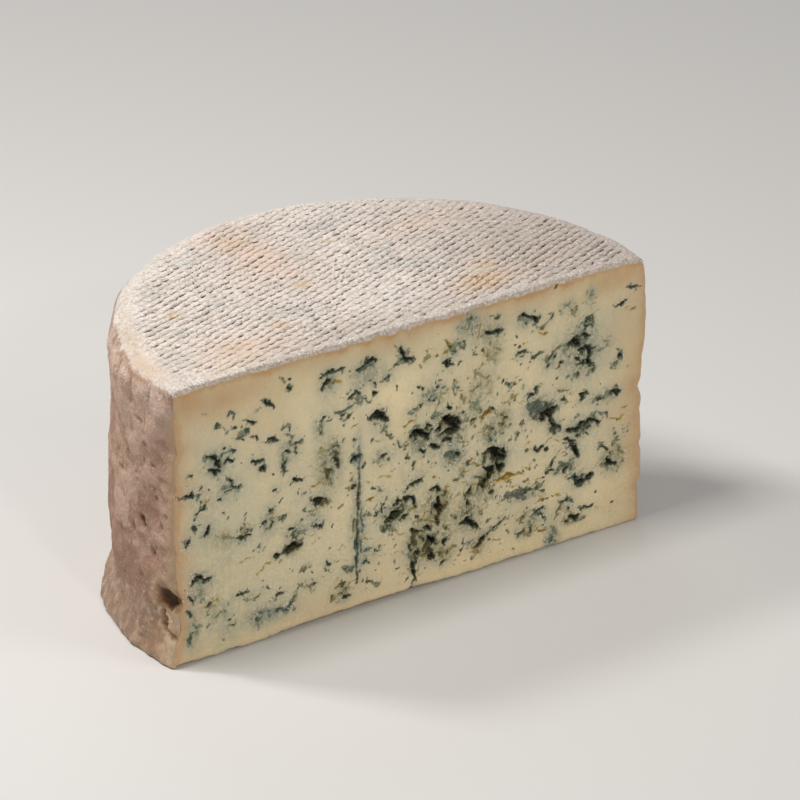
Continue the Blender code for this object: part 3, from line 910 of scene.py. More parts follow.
lowerLeft = {
    "openings": [
        (1.9, -95, 46, -94, 47, -93.3, 47.5), (1.8, -87.5, 46.5, -86, 48.5, -85.5, 50),
        (1.5, -74.5, 43.5, -73.5, 42.8, -71, 42.3, -68, 42.7), (1.4, -60.5, 50.3, -60.3, 49.5),
        (1, -64, 45.3, -62.5, 45.8), (1.5, -61, 43, -59.5, 44), (1.1, -65.5, 36.8),
        (2.2, -93.5, 31, -92, 32, -90, 32.5, -88.5, 31), (1.8, -89, 30, -87, 30.3, -85.5, 31),
        (1.5, -95, 27, -93.5, 25.8, -92.3, 24.5), (2.4, -59.8, 30.8, -57.5, 31),
        (3.3, -55, 31.5, -52.5, 32, -50.5, 33.5, -48.5, 32.8), (1.8, -50.5, 34, -49.5, 33),
        (0.9, -52.8, 39.5, -52, 40, -51, 40.2), (1.5, -42, 38.5, -40.5, 37.8, -39.5, 38),
        (2.5, -43, 48, -41, 47.5, -38.5, 47.3), (1.3, -87.5, 20, -86, 20.8),
        (1.3, -75, 21.3, -73.5, 20.8, -71, 21.3), (1.3, -59, 15.5, -57.5, 16.5, -56, 16.3),
        (1.1, -43, 15.3, -41.5, 15.8), (1.6, -37, 22.5, -35.5, 21.3), (0.9, -77.5, 12.3),
        (0.8, -76, 10.2), (0.9, -80.5, 5.5),
    ],
    "mould": [
        (1.9, -60.3, 48.5, -60.3, 45.5), (3.2, -62.5, 42.5, -60.5, 42.5), (1.1, -58, 43, -55, 44.5),
        (1.6, -89, 28, -88.5, 24), (3, -52, 37.5, -47, 37), (1.3, -70, 18.5, -68, 18, -66, 18.8),
        (0.9, -62, 20.5), (0.7, -79.5, 18, -80, 16, -84, 15), (2.2, -93, 12, -94, 10, -95, 8),
        (1, -87, 13.3, -85, 12.8), (2.1, -66.5, 10, -66, 7.5),
        (1.4, -61.5, 9.5, -58, 9.5, -54, 10.5, -51, 13), (1.1, -47, 24, -46.3, 23),
        (0.9, -49, 17, -47, 16, -45, 15), (1.6, -67, 12, -63, 11.5), (1, -44.8, 42, -44, 44),
        (1.1, -43.5, 42.5, -42.5, 41.5), (3.2, -93, 31.5, -88, 30.5), (1, -86.8, 18.5),
        (1.4, -44, 39.5, -40, 37.5), (1.4, -95, 21, -93, 18), (0.9, -92, 15, -90, 13.5),
        (1.6, -55, 33, -49, 34.5), (0.9, -71, 46, -68, 44.5),
    ],
    "olive": [
        (1.9, -81.5, 44.2, -79, 44.3, -77.3, 43), (2.6, -40, 46.3, -36.5, 46), (1.5, -74, 43.5, -69, 43),
        (1.6, -54, 31, -49, 32), (0.9, -87.5, 21, -84, 21.3),
    ],
    "amber": [
        (0.7, -72, 46.8, -69.5, 46.8, -67, 46), (0.8, -74.5, 33, -71, 33.7, -68, 33.3, -65.5, 33.2),
        (1.3, -66, 26.2, -64.5, 26.8, -63, 28, -60.5, 29), (1, -57, 29, -56, 28), (0.9, -48, 34.8),
        (0.6, -45, 34.7, -41, 33.8), (0.6, -38, 48, -34, 48.2, -28, 47.8),
        (0.8, -84, 21.5, -82, 21.3, -80.5, 20.8), (0.8, -55, 16.7, -54, 16), (0.7, -50, 16.8, -46, 15.6),
        (0.8, -74, 21.8, -71, 21.8),
    ],
    "haze": [
        (-94, 47, 2, 2, 0.5), (-86, 48, 3, 4, 0.5), (-76, 43, 7, 3, 0.5), (-61, 45, 4, 6, 0.8),
        (-90, 30, 5, 4, 0.7), (-94, 26, 3, 3, 0.6), (-79, 35, 5, 3, 0.4), (-53, 32, 7, 4, 0.6),
        (-49, 38, 6, 4, 0.7), (-41, 47, 5, 3, 0.6), (-42, 40, 4, 4, 0.5), (-94, 13, 4, 10, 0.7),
        (-82, 17, 7, 5, 0.5), (-62, 10, 11, 4, 0.9), (-68, 19, 6, 3, 0.5), (-78, 8, 6, 5, 0.4),
        (-45, 17, 6, 3, 0.4), (-37, 22, 3, 3, 0.3), (-51, 44, 9, 5, 0.3), (-70, 28, 14, 6, 0.2),
    ],
    "mottle": [
        (-49, 39, 5, 4, 0.7), (-61, 11, 10, 3.5, 0.7), (-93, 14, 3, 8, 0.6), (-42, 41, 4, 4, 0.6),
        (-90, 29, 5, 4, 0.4), (-60, 43, 4, 3, 0.5), (-80, 12, 6, 6, 0.3),
    ],
}

lowerMiddle = {
    "openings": [
        (1.6, -31, 8, -30, 6.8, -28.5, 7), (1.6, -26, 48), (1, -17.2, 36, -16.5, 35),
        (0.9, -13.7, 38, -13.5, 35), (1.6, -8.5, 36.3, -6, 37.3, -4.5, 38),
        (2.8, -11.8, 30.8, -10, 32.5, -8, 33, -6, 32.5), (1.3, -3.5, 37.5, -1, 37, 0, 35.5, 0.2, 33),
        (1.6, -2, 42, 0, 42, 2, 42.8, 3.5, 43.3), (1.3, 7, 38.3, 9, 37.5, 10.5, 36.5),
        (2.6, 10.3, 33.5, 10.5, 30, 10.8, 27), (0.9, 12.5, 31.5, 14, 30.5), (1.2, 0.5, 29.5, 1.5, 29),
        (3, 6, 19.5, 7.5, 18, 9, 17), (2.1, 0.8, 15, 2, 14), (1.2, 5, 14.5, 7.5, 13.7), (1.3, 11.8, 8),
        (2.3, 20.5, 21.5, 22.5, 20.8, 25, 19.5), (1.5, 22, 27.5, 23, 28.5), (2.3, 23.3, 32.5),
        (3, 28, 33.5, 29.5, 33, 30, 34.5), (2.1, 31.5, 36, 33, 38, 33.5, 39),
        (3.2, 30.5, 45.5, 32.5, 46, 34.5, 44, 37, 42, 39, 41), (2.8, 35.5, 40, 37, 38, 37, 37),
        (1.4, 18, 49, 19.5, 47), (0.9, 15.5, 50), (1.4, 22, 43.5, 23, 42.5), (1.4, 31.5, 29.8, 33, 30),
        (2.5, 27, 9.5, 28.5, 11.5, 30, 13.5), (1.6, -21.5, 18.5, -21, 17.5),
        (0.9, 31.5, 14.5, 34, 15, 37, 16.8, 39, 18), (1.4, -1.5, 24, 0, 23, 2, 22.5),
        (1.6, 12.5, 17, 13, 14.5), (1.5, -0.8, 12, -0.5, 9, -0.3, 6), (0.9, -0.3, 6, -0.7, 3, -0.8, 2.5),
        (1.2, 3, 20, 4, 18.5), (1, -2, 18, -1, 16),
    ],
    "mould": [
        (3.4, -14, 28, -9, 28), (4.2, 7.5, 28, 9, 31), (3.4, 21, 24.5, 23.5, 24.5, 24, 22.5),
        (4.2, 29.5, 44, 31.5, 43), (4.8, 14.5, 48, 17.5, 48), (1.1, -20, 48.8, -19, 47.5),
        (1.2, -14, 44.3), (1.1, -21, 22, -19, 22.5), (1, -17, 21.5, -15, 21.5),
        (1, -21, 10.3, -20, 9.8, -16, 8), (0.8, -30, 18, -26, 17.3, -24, 16.8),
        (1.1, 21.5, 13, 23.5, 13.5), (3.8, -10, 32, -5, 34.5), (4.6, 28.5, 34, 32, 36),
        (5, 33, 44, 37, 41), (3.4, 21, 21.5, 25, 20.5), (3.2, 22, 30, 24.5, 33.5), (4, 4, 20, 9, 16.5),
        (3, -0.5, 14, 3, 14), (1.2, 26, 37, 29, 35.5), (1.5, 12, 36, 14, 33),
        (1.6, -0.7, 23, -1, 12, -0.5, 7), (1.4, 19, 39, 21, 41), (2, -3, 41.5, 2, 42.5),
        (1, -13, 33.5, -12, 33), (2.2, 27, 13, 29, 14), (1.4, 13, 22, 15, 19),
    ],
    "olive": [
        (2.2, -32.5, 12, -30, 12), (2, -34.5, 9, -35, 7.5), (2.4, -31, 8.5, -29, 9),
        (4.6, 0, 19, 3, 17, 6, 15), (3, -1, 21, 3, 22), (4, 31.5, 33, 30, 31), (3.2, 12, 28, 12.5, 30),
        (2.6, 11, 12, 12.5, 11, 13.5, 10.5), (1.6, 30.5, 26.5, 28, 27), (1.3, 27, 25.5, 30, 26),
        (2, 36, 38.5, 37.5, 36.5), (1.8, -25.5, 48, -27, 49), (1.6, 15, 25, 18, 24), (1.4, 1, 27, 3, 28),
        (1.5, 17, 13, 14, 11.5), (2, 5, 33, 7, 35),
    ],
    "amber": [
        (0.6, -16.5, 48.5, -12, 48, -9, 47.5), (0.8, -12.5, 47, -9.5, 47.3),
        (1.1, -20.5, 41, -18, 41.3, -17.5, 40.5), (0.9, -22.5, 38.8), (1.3, 5, 25, 8, 25, 11, 25.2),
        (0.9, 13.5, 17, 16, 17.8, 18, 19.8), (1, 18, 9, 19, 8.5),
        (1.2, 34, 33.7, 37, 33.5, 40, 33.8, 43, 33.7, 47, 32.5),
        (0.6, -17, 18.3, -10, 18, -6, 16.5, -1.5, 14.8), (0.8, -14, 22.7, -12.5, 23),
        (1, 14, 46, 17, 44.5), (0.9, 25, 34, 27, 33), (0.9, 12, 21, 16, 21.5), (0.8, 3, 33, 5, 31),
        (0.8, 20, 37, 23, 36), (0.7, -7, 24, -4, 24.5), (0.8, 15.5, 12, 19, 12.5), (0.7, 6, 46, 9, 45.5),
        (0.8, 8, 42, 10, 43),
    ],
    "haze": [
        (-31, 9, 5, 4, 0.5), (-24, 32, 4, 9, 0.9), (-14, 42, 4, 3, 0.5), (-8, 33, 7, 5, 0.8),
        (0, 42, 6, 3, 0.5), (9, 31, 6, 7, 0.9), (3, 18, 8, 7, 0.9), (12, 10, 4, 4, 0.6),
        (23, 23, 6, 6, 0.8), (30, 34, 6, 6, 0.8), (35, 43, 7, 5, 0.8), (16, 48, 6, 4, 0.9),
        (28, 12, 5, 5, 0.6), (-20, 20, 6, 4, 0.5), (-26, 17, 5, 2, 0.4), (22, 43, 4, 3, 0.4),
        (-23.8, 20, 3, 9, 0.7), (10, 48, 18, 14, 0.25), (20, 30, 16, 16, 0.3),
    ],
    "mottle": [
        (3, 18, 7, 6, 1), (10, 31, 6, 6, 0.9), (30, 34, 6, 6, 0.9), (-8, 33, 7, 5, 0.7),
        (22, 24, 5, 6, 0.8), (35, 42, 6, 5, 0.6), (-31, 9, 5, 4, 0.8), (-24, 31, 3.5, 9, 0.8),
        (13, 11, 4, 4, 0.7), (-14, 36, 4, 4, 0.5), (0, 46, 8, 5, 0.4), (20, 42, 8, 6, 0.35),
        (-20, 21, 5, 3, 0.4), (28, 12, 4, 4, 0.5), (14, 24, 6, 6, 0.5),
    ],
}

lowerRight = {
    "openings": [
        (1.6, 57, 52, 59, 49.5, 60, 48, 62.5, 46), (1.4, 71, 41.5), (1.4, 47.7, 41.5, 48.5, 41),
        (1.9, 66, 44.3, 68, 43.8, 70, 43.5, 72, 44.5, 75, 45.2, 78, 44.8, 79.5, 43.3),
        (1.1, 64.8, 41.5, 67, 40.3, 69, 39.8), (1.6, 68, 38.5, 69.5, 36, 71, 34, 71.5, 33.5),
        (1.6, 64.5, 29, 66, 29), (1.4, 52, 40.7, 54, 41, 55.5, 41.2), (1, 57, 30.5, 60, 30.5),
        (2.4, 69.5, 26, 70, 24, 70.5, 22), (2, 71, 21.5, 74, 23, 76.5, 24),
        (2.2, 83.5, 26, 84.5, 27, 85.5, 25, 88, 25), (2.6, 66, 9, 68, 9.3, 71, 9.5), (1.2, 67, 13.3),
        (1.6, 51, 14.8, 53.5, 15.5, 55, 17), (1.3, 73, 12, 76, 11.3, 78, 11.5), (1.6, 45.5, 9, 47.5, 9.5),
        (1.2, 50.5, 11.5, 50, 9.5), (1.2, 63.5, 17, 66.5, 17.3), (1.3, 57, 39.5),
        (1.2, 80.5, 33.5, 82, 33, 84, 31.5),
    ],
    "mould": [
        (3.2, 59.5, 46.5, 62, 45), (2.7, 77, 47), (3, 70, 43, 76, 43.5), (3.2, 65, 30.5, 69, 31),
        (1.1, 69, 28.7), (1.3, 43.8, 49.3), (4, 70, 24, 75, 23), (3, 82, 26, 88, 25.5),
        (1, 86, 33, 88, 35), (0.9, 91.2, 38), (0.9, 87, 38, 87.3, 37), (3.4, 60.5, 6, 59.5, 3),
        (1.6, 58, 8, 61, 8), (1, 80.5, 46.5, 82.5, 46, 84, 44.5),
        (1, 38, 25, 43, 25.3, 50, 25.8, 54, 25, 56, 27), (2.4, 68, 38, 70, 35), (1.2, 81.5, 26),
        (1.2, 61, 29, 64, 30), (1, 58, 32, 62, 36), (1.3, 66, 18, 69, 16), (1.4, 54, 15, 57, 12),
    ],
    "olive": [
        (1.6, 88, 31, 90.5, 28.5), (1.3, 91, 25.5), (1.6, 84, 30, 87, 29), (1.4, 50, 10.5, 52, 11.5),
        (1.8, 47, 9.5, 49, 8.5), (1.2, 62, 13, 64, 15), (1, 44, 15, 48, 17),
    ],
    "amber": [
        (0.9, 56, 42, 59, 42.8), (0.7, 43, 44, 45, 43.7), (1.4, 90.5, 46.2, 93.5, 45.7),
        (1, 85, 42.5, 88, 42.7, 91, 43), (0.9, 84, 49.8), (0.8, 43, 16, 44, 15.3),
        (1.3, 53.5, 8.5, 57, 7.5), (0.7, 77, 26, 80, 26.5), (0.7, 45, 14, 49, 13), (0.7, 64, 35, 66, 36),
    ],
    "haze": [
        (60, 48, 5, 4, 0.7), (72, 44, 9, 4, 0.8), (69, 37, 4, 5, 0.6), (67, 30, 6, 3, 0.7),
        (54, 41, 5, 2, 0.3), (47, 24, 7, 3, 1), (72, 24, 6, 4, 0.9), (86, 28, 6, 6, 0.8),
        (60, 5, 4, 5, 0.9), (53, 15, 6, 3, 0.5), (66, 16, 5, 3, 0.5), (48, 10, 6, 3, 0.5),
        (70, 9, 6, 2, 0.5), (84, 38, 6, 8, 0.3), (77, 36, 8, 7, 0.25), (62, 38, 7, 8, 0.2),
        (88, 18, 5, 5, 0.3),
    ],
    "mottle": [
        (86, 28, 6, 6, 0.8), (60, 5, 3, 4, 0.9), (67, 31, 6, 3, 0.5), (52, 13, 7, 4, 0.5),
        (66, 15, 4, 3, 0.5), (50, 9, 5, 2, 0.6), (72, 45, 9, 4, 0.5), (45, 17, 4, 3, 0.5),
    ],
}

needle = {
    # the way of the piercing needle: pale above, broken and crumbly further down
    "openings": [
        (0.8, -23.7, 49, -23.8, 44, -23.9, 39), (0.6, -24, 37, -24.1, 32), (1.1, -24.1, 30, -24.3, 25),
        (0.7, -24.4, 22, -24.5, 17),
    ],
    "mould": [
        (0.7, -23.4, 63, -23.6, 50), (0.7, -23.8, 50, -24.7, 11), (1.2, -23.6, 51, -23.7, 45, -24, 38),
        (1.1, -24.1, 37, -24.3, 24), (1, -24.4, 23, -24.7, 15), (0.7, -22.8, 38, -21.9, 32),
        (0.9, -25.6, 36, -25.9, 31), (0.8, -25.4, 28, -25.2, 24), (0.6, -23, 27, -22.7, 22),
    ],
    "haze": [(-23.4, 60, 1.3, 13, 1), (-24.1, 36, 2.2, 24, 0.9)],
}

zones = [upperLeft, upperMiddle, upperRight, lowerLeft, lowerMiddle, lowerRight]

paste = {
    "step": 0.49,           # how finely the cut is modelled
    "skirt": [(1.6, 0.4), (11.0, 2.6)],  # it is closed behind this far back, and so much narrower
    "steepness": 2.1,       # depth gained per mm inwards from a hollow's border
    "deepest": 4.2,
    "finer": (-28.0, 0.80),  # left of this the veins have only this share of their width
    "specks": 430,          # scattered specks of mould besides the placed ones,
    "speckArea": (-96.0, 93.0, 4.0, 99.0),  # between these places across and up
    "speckSeed": 41,
    "cracks": 120,          # and scattered moist cracks
    "crackArea": (-92.0, 88.0, 5.0, 92.0),
    "crackSeed": 43,
    # ragged borders: size, amount and seed
    "warp": [(4.5, 0.50, 19), (1.9, 0.75, 21), (0.85, 0.45, 23)],
    "crustThickness": 2.3,  # of the rind where the cut shows it along the top,
    "crustTooth": (1.9, -2.5, 0.55),  # and where it reaches further down: by how much, x, half width
    "smear": (1.6, 2.2),    # how far the knife has spread the mould, across and upwards
    "halo": 2.3,            # how far flecks and haze surround a vein
    # smooth grey-green faces of opened curds
    "slicks": [
        (5, 49, 58.5, 52.5, 56.5, 56, 54.5), (3.4, 40, 26.5, 43, 26.2, 46, 25.2, 47, 23.5),
        (4.2, 14, 49.3, 17, 48.5), (3.2, 68, 25, 70.5, 23.5, 73, 22), (2.6, 63, 32, 65.5, 31, 68, 30),
        (2.2, 58, 51, 61, 49), (2, 35, 44, 37.5, 42.5), (1.8, -50, 33.6, -47.5, 33.2),
        (1.6, 8, 20.5, 9.5, 18.6), (2, 68, 77, 71, 75.8), (2.2, -24, 91, -19, 91.8),
    ],
    # dark clusters in the middle of the cut
    "cores": [
        (2.6, -1, 60.5, 2, 61.5, 4, 60), (2.2, 9, 59.5, 11.5, 60.5), (2.4, 30, 40, 32, 37.5, 32.5, 35),
        (2, 9, 27, 10, 24), (1.8, 24, 20, 27, 18.5), (2, 17, 62, 19, 60.5), (2.2, 71, 74, 73.5, 73),
        (1.8, 4, 24, 6, 22.5), (1.6, -6, 30, -3.5, 31.5), (1.8, 38, 44, 40, 42.5), (1.6, 6, 13, 8, 11.5),
        (1.4, 54, 52.5, 57, 51.5),
    ],
    # where the mould is brown rather than green
    "brown": [
        (-80, 44, 6, 4, 0.9), (-56, 31, 10, 5, 0.7), (-85, 20, 6, 4, 0.8), (-55, 16, 8, 4, 0.8),
        (28, 11, 6, 6, 1), (68, 9, 8, 4, 1), (10, 25, 16, 16, 0.8), (32, 28, 8, 10, 0.7),
        (-38, 60, 6, 12, 0.9), (88, 28, 8, 8, 0.6), (14, 62, 12, 5, 0.6), (28, 57, 5, 5, 0.9),
        (-31, 10, 6, 5, 0.8), (32, 84, 5, 8, 0.7), (64, 60, 5, 3, 0.8),
    ],
    # clouds: where the paste is tanned, creamier or painted lighter, wet or its mould bluer
    "tanned": [
        (-92, 98, 12, 8, 1), (96, 60, 7, 40, 0.5), (-82, 98, 26, 9, 0.8), (88, 99, 16, 7, 0.9),
        (92, 12, 12, 12, 0.4), (-66, 88, 12, 10, 0.25), (-94, 5, 8, 6, 0.5), (94, 80, 10, 18, 0.5),
        (-50, 3, 44, 11, 0.28), (40, 2, 60, 12, 0.20),
    ],
    # partly the paste's creamier tone, partly painted light: brighter in the middle and along the bottom
    "creamyAndLit": [
        (-8, 78, 14, 10, 1), (30, 62, 34, 26, 0.55), (-27, 80, 10, 14, 0.6), (-10, 50, 34, 26, 0.45),
        (-45, 78, 9, 16, 0.5), (30, 4, 70, 7, 1), (80, 16, 18, 10, 0.7), (-60, 3, 40, 5, 0.7),
    ],
    "wettest": [(46, 24, 5, 3, 1), (16, 48, 4, 3, 0.9), (78, 7, 16, 3, 1), (-65, 12, 6, 3, 1)],
    "bluer": [
        (-23.8, 45, 2.6, 30, 1), (16, 48, 5, 4, 0.9), (-80, 95, 40, 40, 0.3), (60, 4, 4, 6, 0.8),
        (-62, 10, 12, 5, 0.6),
    ],
    # where the paste is hazy all over
    "veils": [
        (-82, 36, 16, 34, 0.75), (-54, 62, 16, 26, 0.25), (12, 40, 42, 34, 0.30), (70, 72, 16, 22, 0.25),
        (66, 20, 24, 16, 0.15), (-19, 88, 7, 4, 1), (32, 70, 12, 10, 0.5), (24, 92, 12, 8, 0.5),
        (-38, 62, 8, 26, 0.4),
    ],
}


def insideStrokes(x, z, strokes):
    # how far each point lies inside the nearest stroke in mm; outside them it is below zero
    inside = np.full(x.shape, -30.0)
    for width, *numbers in strokes:
        nodes = np.array(numbers, dtype=float).reshape(-1, 2)
        if len(nodes) == 1:
            nodes = nodes + np.array([[-0.3, -0.1], [0.3, 0.1]]) * width
        low = nodes.min(axis=0) - 6.0
        high = nodes.max(axis=0) + 6.0
        near = np.flatnonzero((x > low[0]) & (x < high[0]) & (z > low[1]) & (z < high[1]))
        px = x[near]
        pz = z[near]
        parts = len(nodes) - 1
        finer = paste["finer"][1] if nodes[0, 0] < paste["finer"][0] else 1.0
        for number, (start, end) in enumerate(zip(nodes, nodes[1:])):
            run = end - start
            along = ((px - start[0]) * run[0] + (pz - start[1]) * run[1]) / max(run @ run, 1e-6)
            along = np.clip(along, 0.0, 1.0)
            away = np.hypot(px - start[0] - along * run[0], pz - start[1] - along * run[1])
            share = (number + along) / parts
            half = width / 2 * finer * (0.62 + 0.38 * np.sin(math.pi * share))
            inside[near] = np.maximum(inside[near], half - away)
    return inside


def softClouds(x, z, clouds):
    total = np.zeros(x.shape)
    for cx, cz, halfWidth, halfHeight, strength in clouds:
        away = ((x - cx) / halfWidth) ** 2 + ((z - cz) / halfHeight) ** 2
        total = np.maximum(total, strength * np.exp(-away * 0.8))
    return total


def gathered(kind):
    return [item for zone in zones for item in zone[kind]]


def scatteredSpecks():
    # small flecks, thickest in the middle of the cut and sparse next to the rind
    draw = np.random.default_rng(paste["speckSeed"])
    left, right, low, high = paste["speckArea"]
    strokes = []
    while len(strokes) < paste["specks"]:
        x = draw.uniform(left, right)
        z = draw.uniform(low, high)
        crowd = 0.12 + 0.88 * bump(x, 18.0, 40.0) * bump(z, 42.0, 44.0)
        crowd *= ramp(x, -98.0, -80.0) * fadeOut(x, 80.0, 94.0)
        crowd *= fadeOut(z, 86.0, 99.0)
        if draw.uniform() > crowd:
            continue
        size = draw.uniform(0.25, 1.0) ** 2
        length = draw.uniform(0.2, 2.2) * size
        angle = draw.normal(0.1, 0.9)
        end = (x + length * math.cos(angle), z + length * math.sin(angle))
        strokes.append((0.25 + 0.9 * size, x, z, *end))
    return strokes


def scatteredCracks():
    # short, nearly level cracks between the curds, most of them low in the middle
    draw = np.random.default_rng(paste["crackSeed"])
    left, right, low, high = paste["crackArea"]
    strokes = []
    while len(strokes) < paste["cracks"]:
        x = draw.uniform(left, right)
        z = draw.uniform(low, high)
        if draw.uniform() > 0.10 + 0.90 * bump(x, 18.0, 42.0) * bump(z, 30.0, 34.0):
            continue
        length = draw.uniform(1.0, 5.0)
        rise = draw.normal(0.0, 0.22) * length
        sag = draw.normal(0.0, 0.4)
        middle = (x + 0.5 * length, z + 0.5 * rise + sag)
        strokes.append((draw.uniform(0.25, 0.60), x, z, *middle, x + length, z + rise))
    return strokes


def spreadOut(field, across, upwards):
    # a soft copy of a grid of values, spread by so many cells each way
    for axis, cells in ((1, across), (0, upwards)):
        reach = math.ceil(2.5 * cells)
        weights = np.exp(-0.5 * (np.arange(-reach, reach + 1) / cells) ** 2)
        weights /= weights.sum()
        field = np.apply_along_axis(np.convolve, axis, field, weights, "same")
    return field


def mouldShare(inside):
    # full inside a stroke of mould, with a faint fringe round it
    return 0.34 * np.exp(np.minimum(inside, 0.0) / 1.1) + 0.66 * ramp(inside, -0.45, 0.25)


lowerLip = {
    "height": 0.9,
    "gap": (0.9, -60.0, -46.0, 0.0, 18.0),  # what it gains between these places
    "fall": (0.75, 45.0, 78.0),             # and loses from here on to the right
    "notch": (1.7, -0.9, 0.9),              # where a vein runs out: height, place and half width
    "least": 0.12,
}


def lipHeight(x):
    # how far the lower edge of the cut is lifted off the table
    gain, start, full, fading, end = lowerLip["gap"]
    lip = lowerLip["height"] + gain * ramp(x, start, full) * fadeOut(x, fading, end)
    loss, start, full = lowerLip["fall"]
    rise, place, halfWidth = lowerLip["notch"]
    lip = lip - loss * ramp(x, start, full) + rise * bump(x, place, halfWidth)
    zero = np.zeros_like(x)
    lip = lip + 0.32 * softNoise(x, zero, zero, 7.0, 31) + 0.22 * softNoise(x, zero, zero, 1.7, 32)
    return np.maximum(lip, lowerLip["least"])


def cutOutline(s, t):
    # the cut's outline as a patch: s runs from left to right and t from the table upwards
    upper = setBack(wheel["cutEdge"])
    corner = setBack(wheel["cornerEdge"])
    quarter = math.pi / 4

    def sideLine(turn, sign):
        low = lipHeight(np.array([sign * 98.0]))[0]
        climb = low + t * (wallClimb(turn, quarter) - low)
        distance, height, lean = sideSkin(np.full(t.shape, turn), climb)
        inset = corner + (upper - corner) * ramp(lean, 0.0, quarter)
        distance = distance + cornerGrain(np.full(t.shape, sign), height)
        outwards = sign * (distance - inset * np.cos(lean))
        return pointsAt(outwards, height - inset * np.sin(lean))

    left = sideLine(math.pi, -1.0)
    right = sideLine(0.0, 1.0)
    lengths = [planReach(turn) + shoulderRadius(turn) * (quarter - 1.0) for turn in (math.pi, 0.0)]
    out = -lengths[0] + s * (lengths[0] + lengths[1])
    turn = np.where(out < 0.0, math.pi, 0.0)
    distance, height, lean = topSkin(turn, np.abs(out))
    zero = np.zeros_like(s)
    ragged = 0.25 * softNoise(out, zero, zero, 2.2, 33, 2)
    topX = np.sign(out) * (distance - upper * np.sin(lean))
    top = pointsAt(topX, height - upper * np.cos(lean) + ragged)
    top[0] = left[-1]
    top[-1] = right[-1]
    bottomX = left[0, 0] + s * (right[0, 0] - left[0, 0])
    bottom = pointsAt(bottomX, lipHeight(bottomX))
    bottom[0] = left[0]
    bottom[-1] = right[0]

    across = s[None, :, None]
    up = t[:, None, None]
    patch = (1.0 - up) * bottom[None] + up * top[None]
    patch = patch + (1.0 - across) * left[:, None] + across * right[:, None]
    corners = (1.0 - up) * ((1.0 - across) * bottom[0] + across * bottom[-1])
    corners = corners + up * ((1.0 - across) * top[0] + across * top[-1])
    return patch - corners


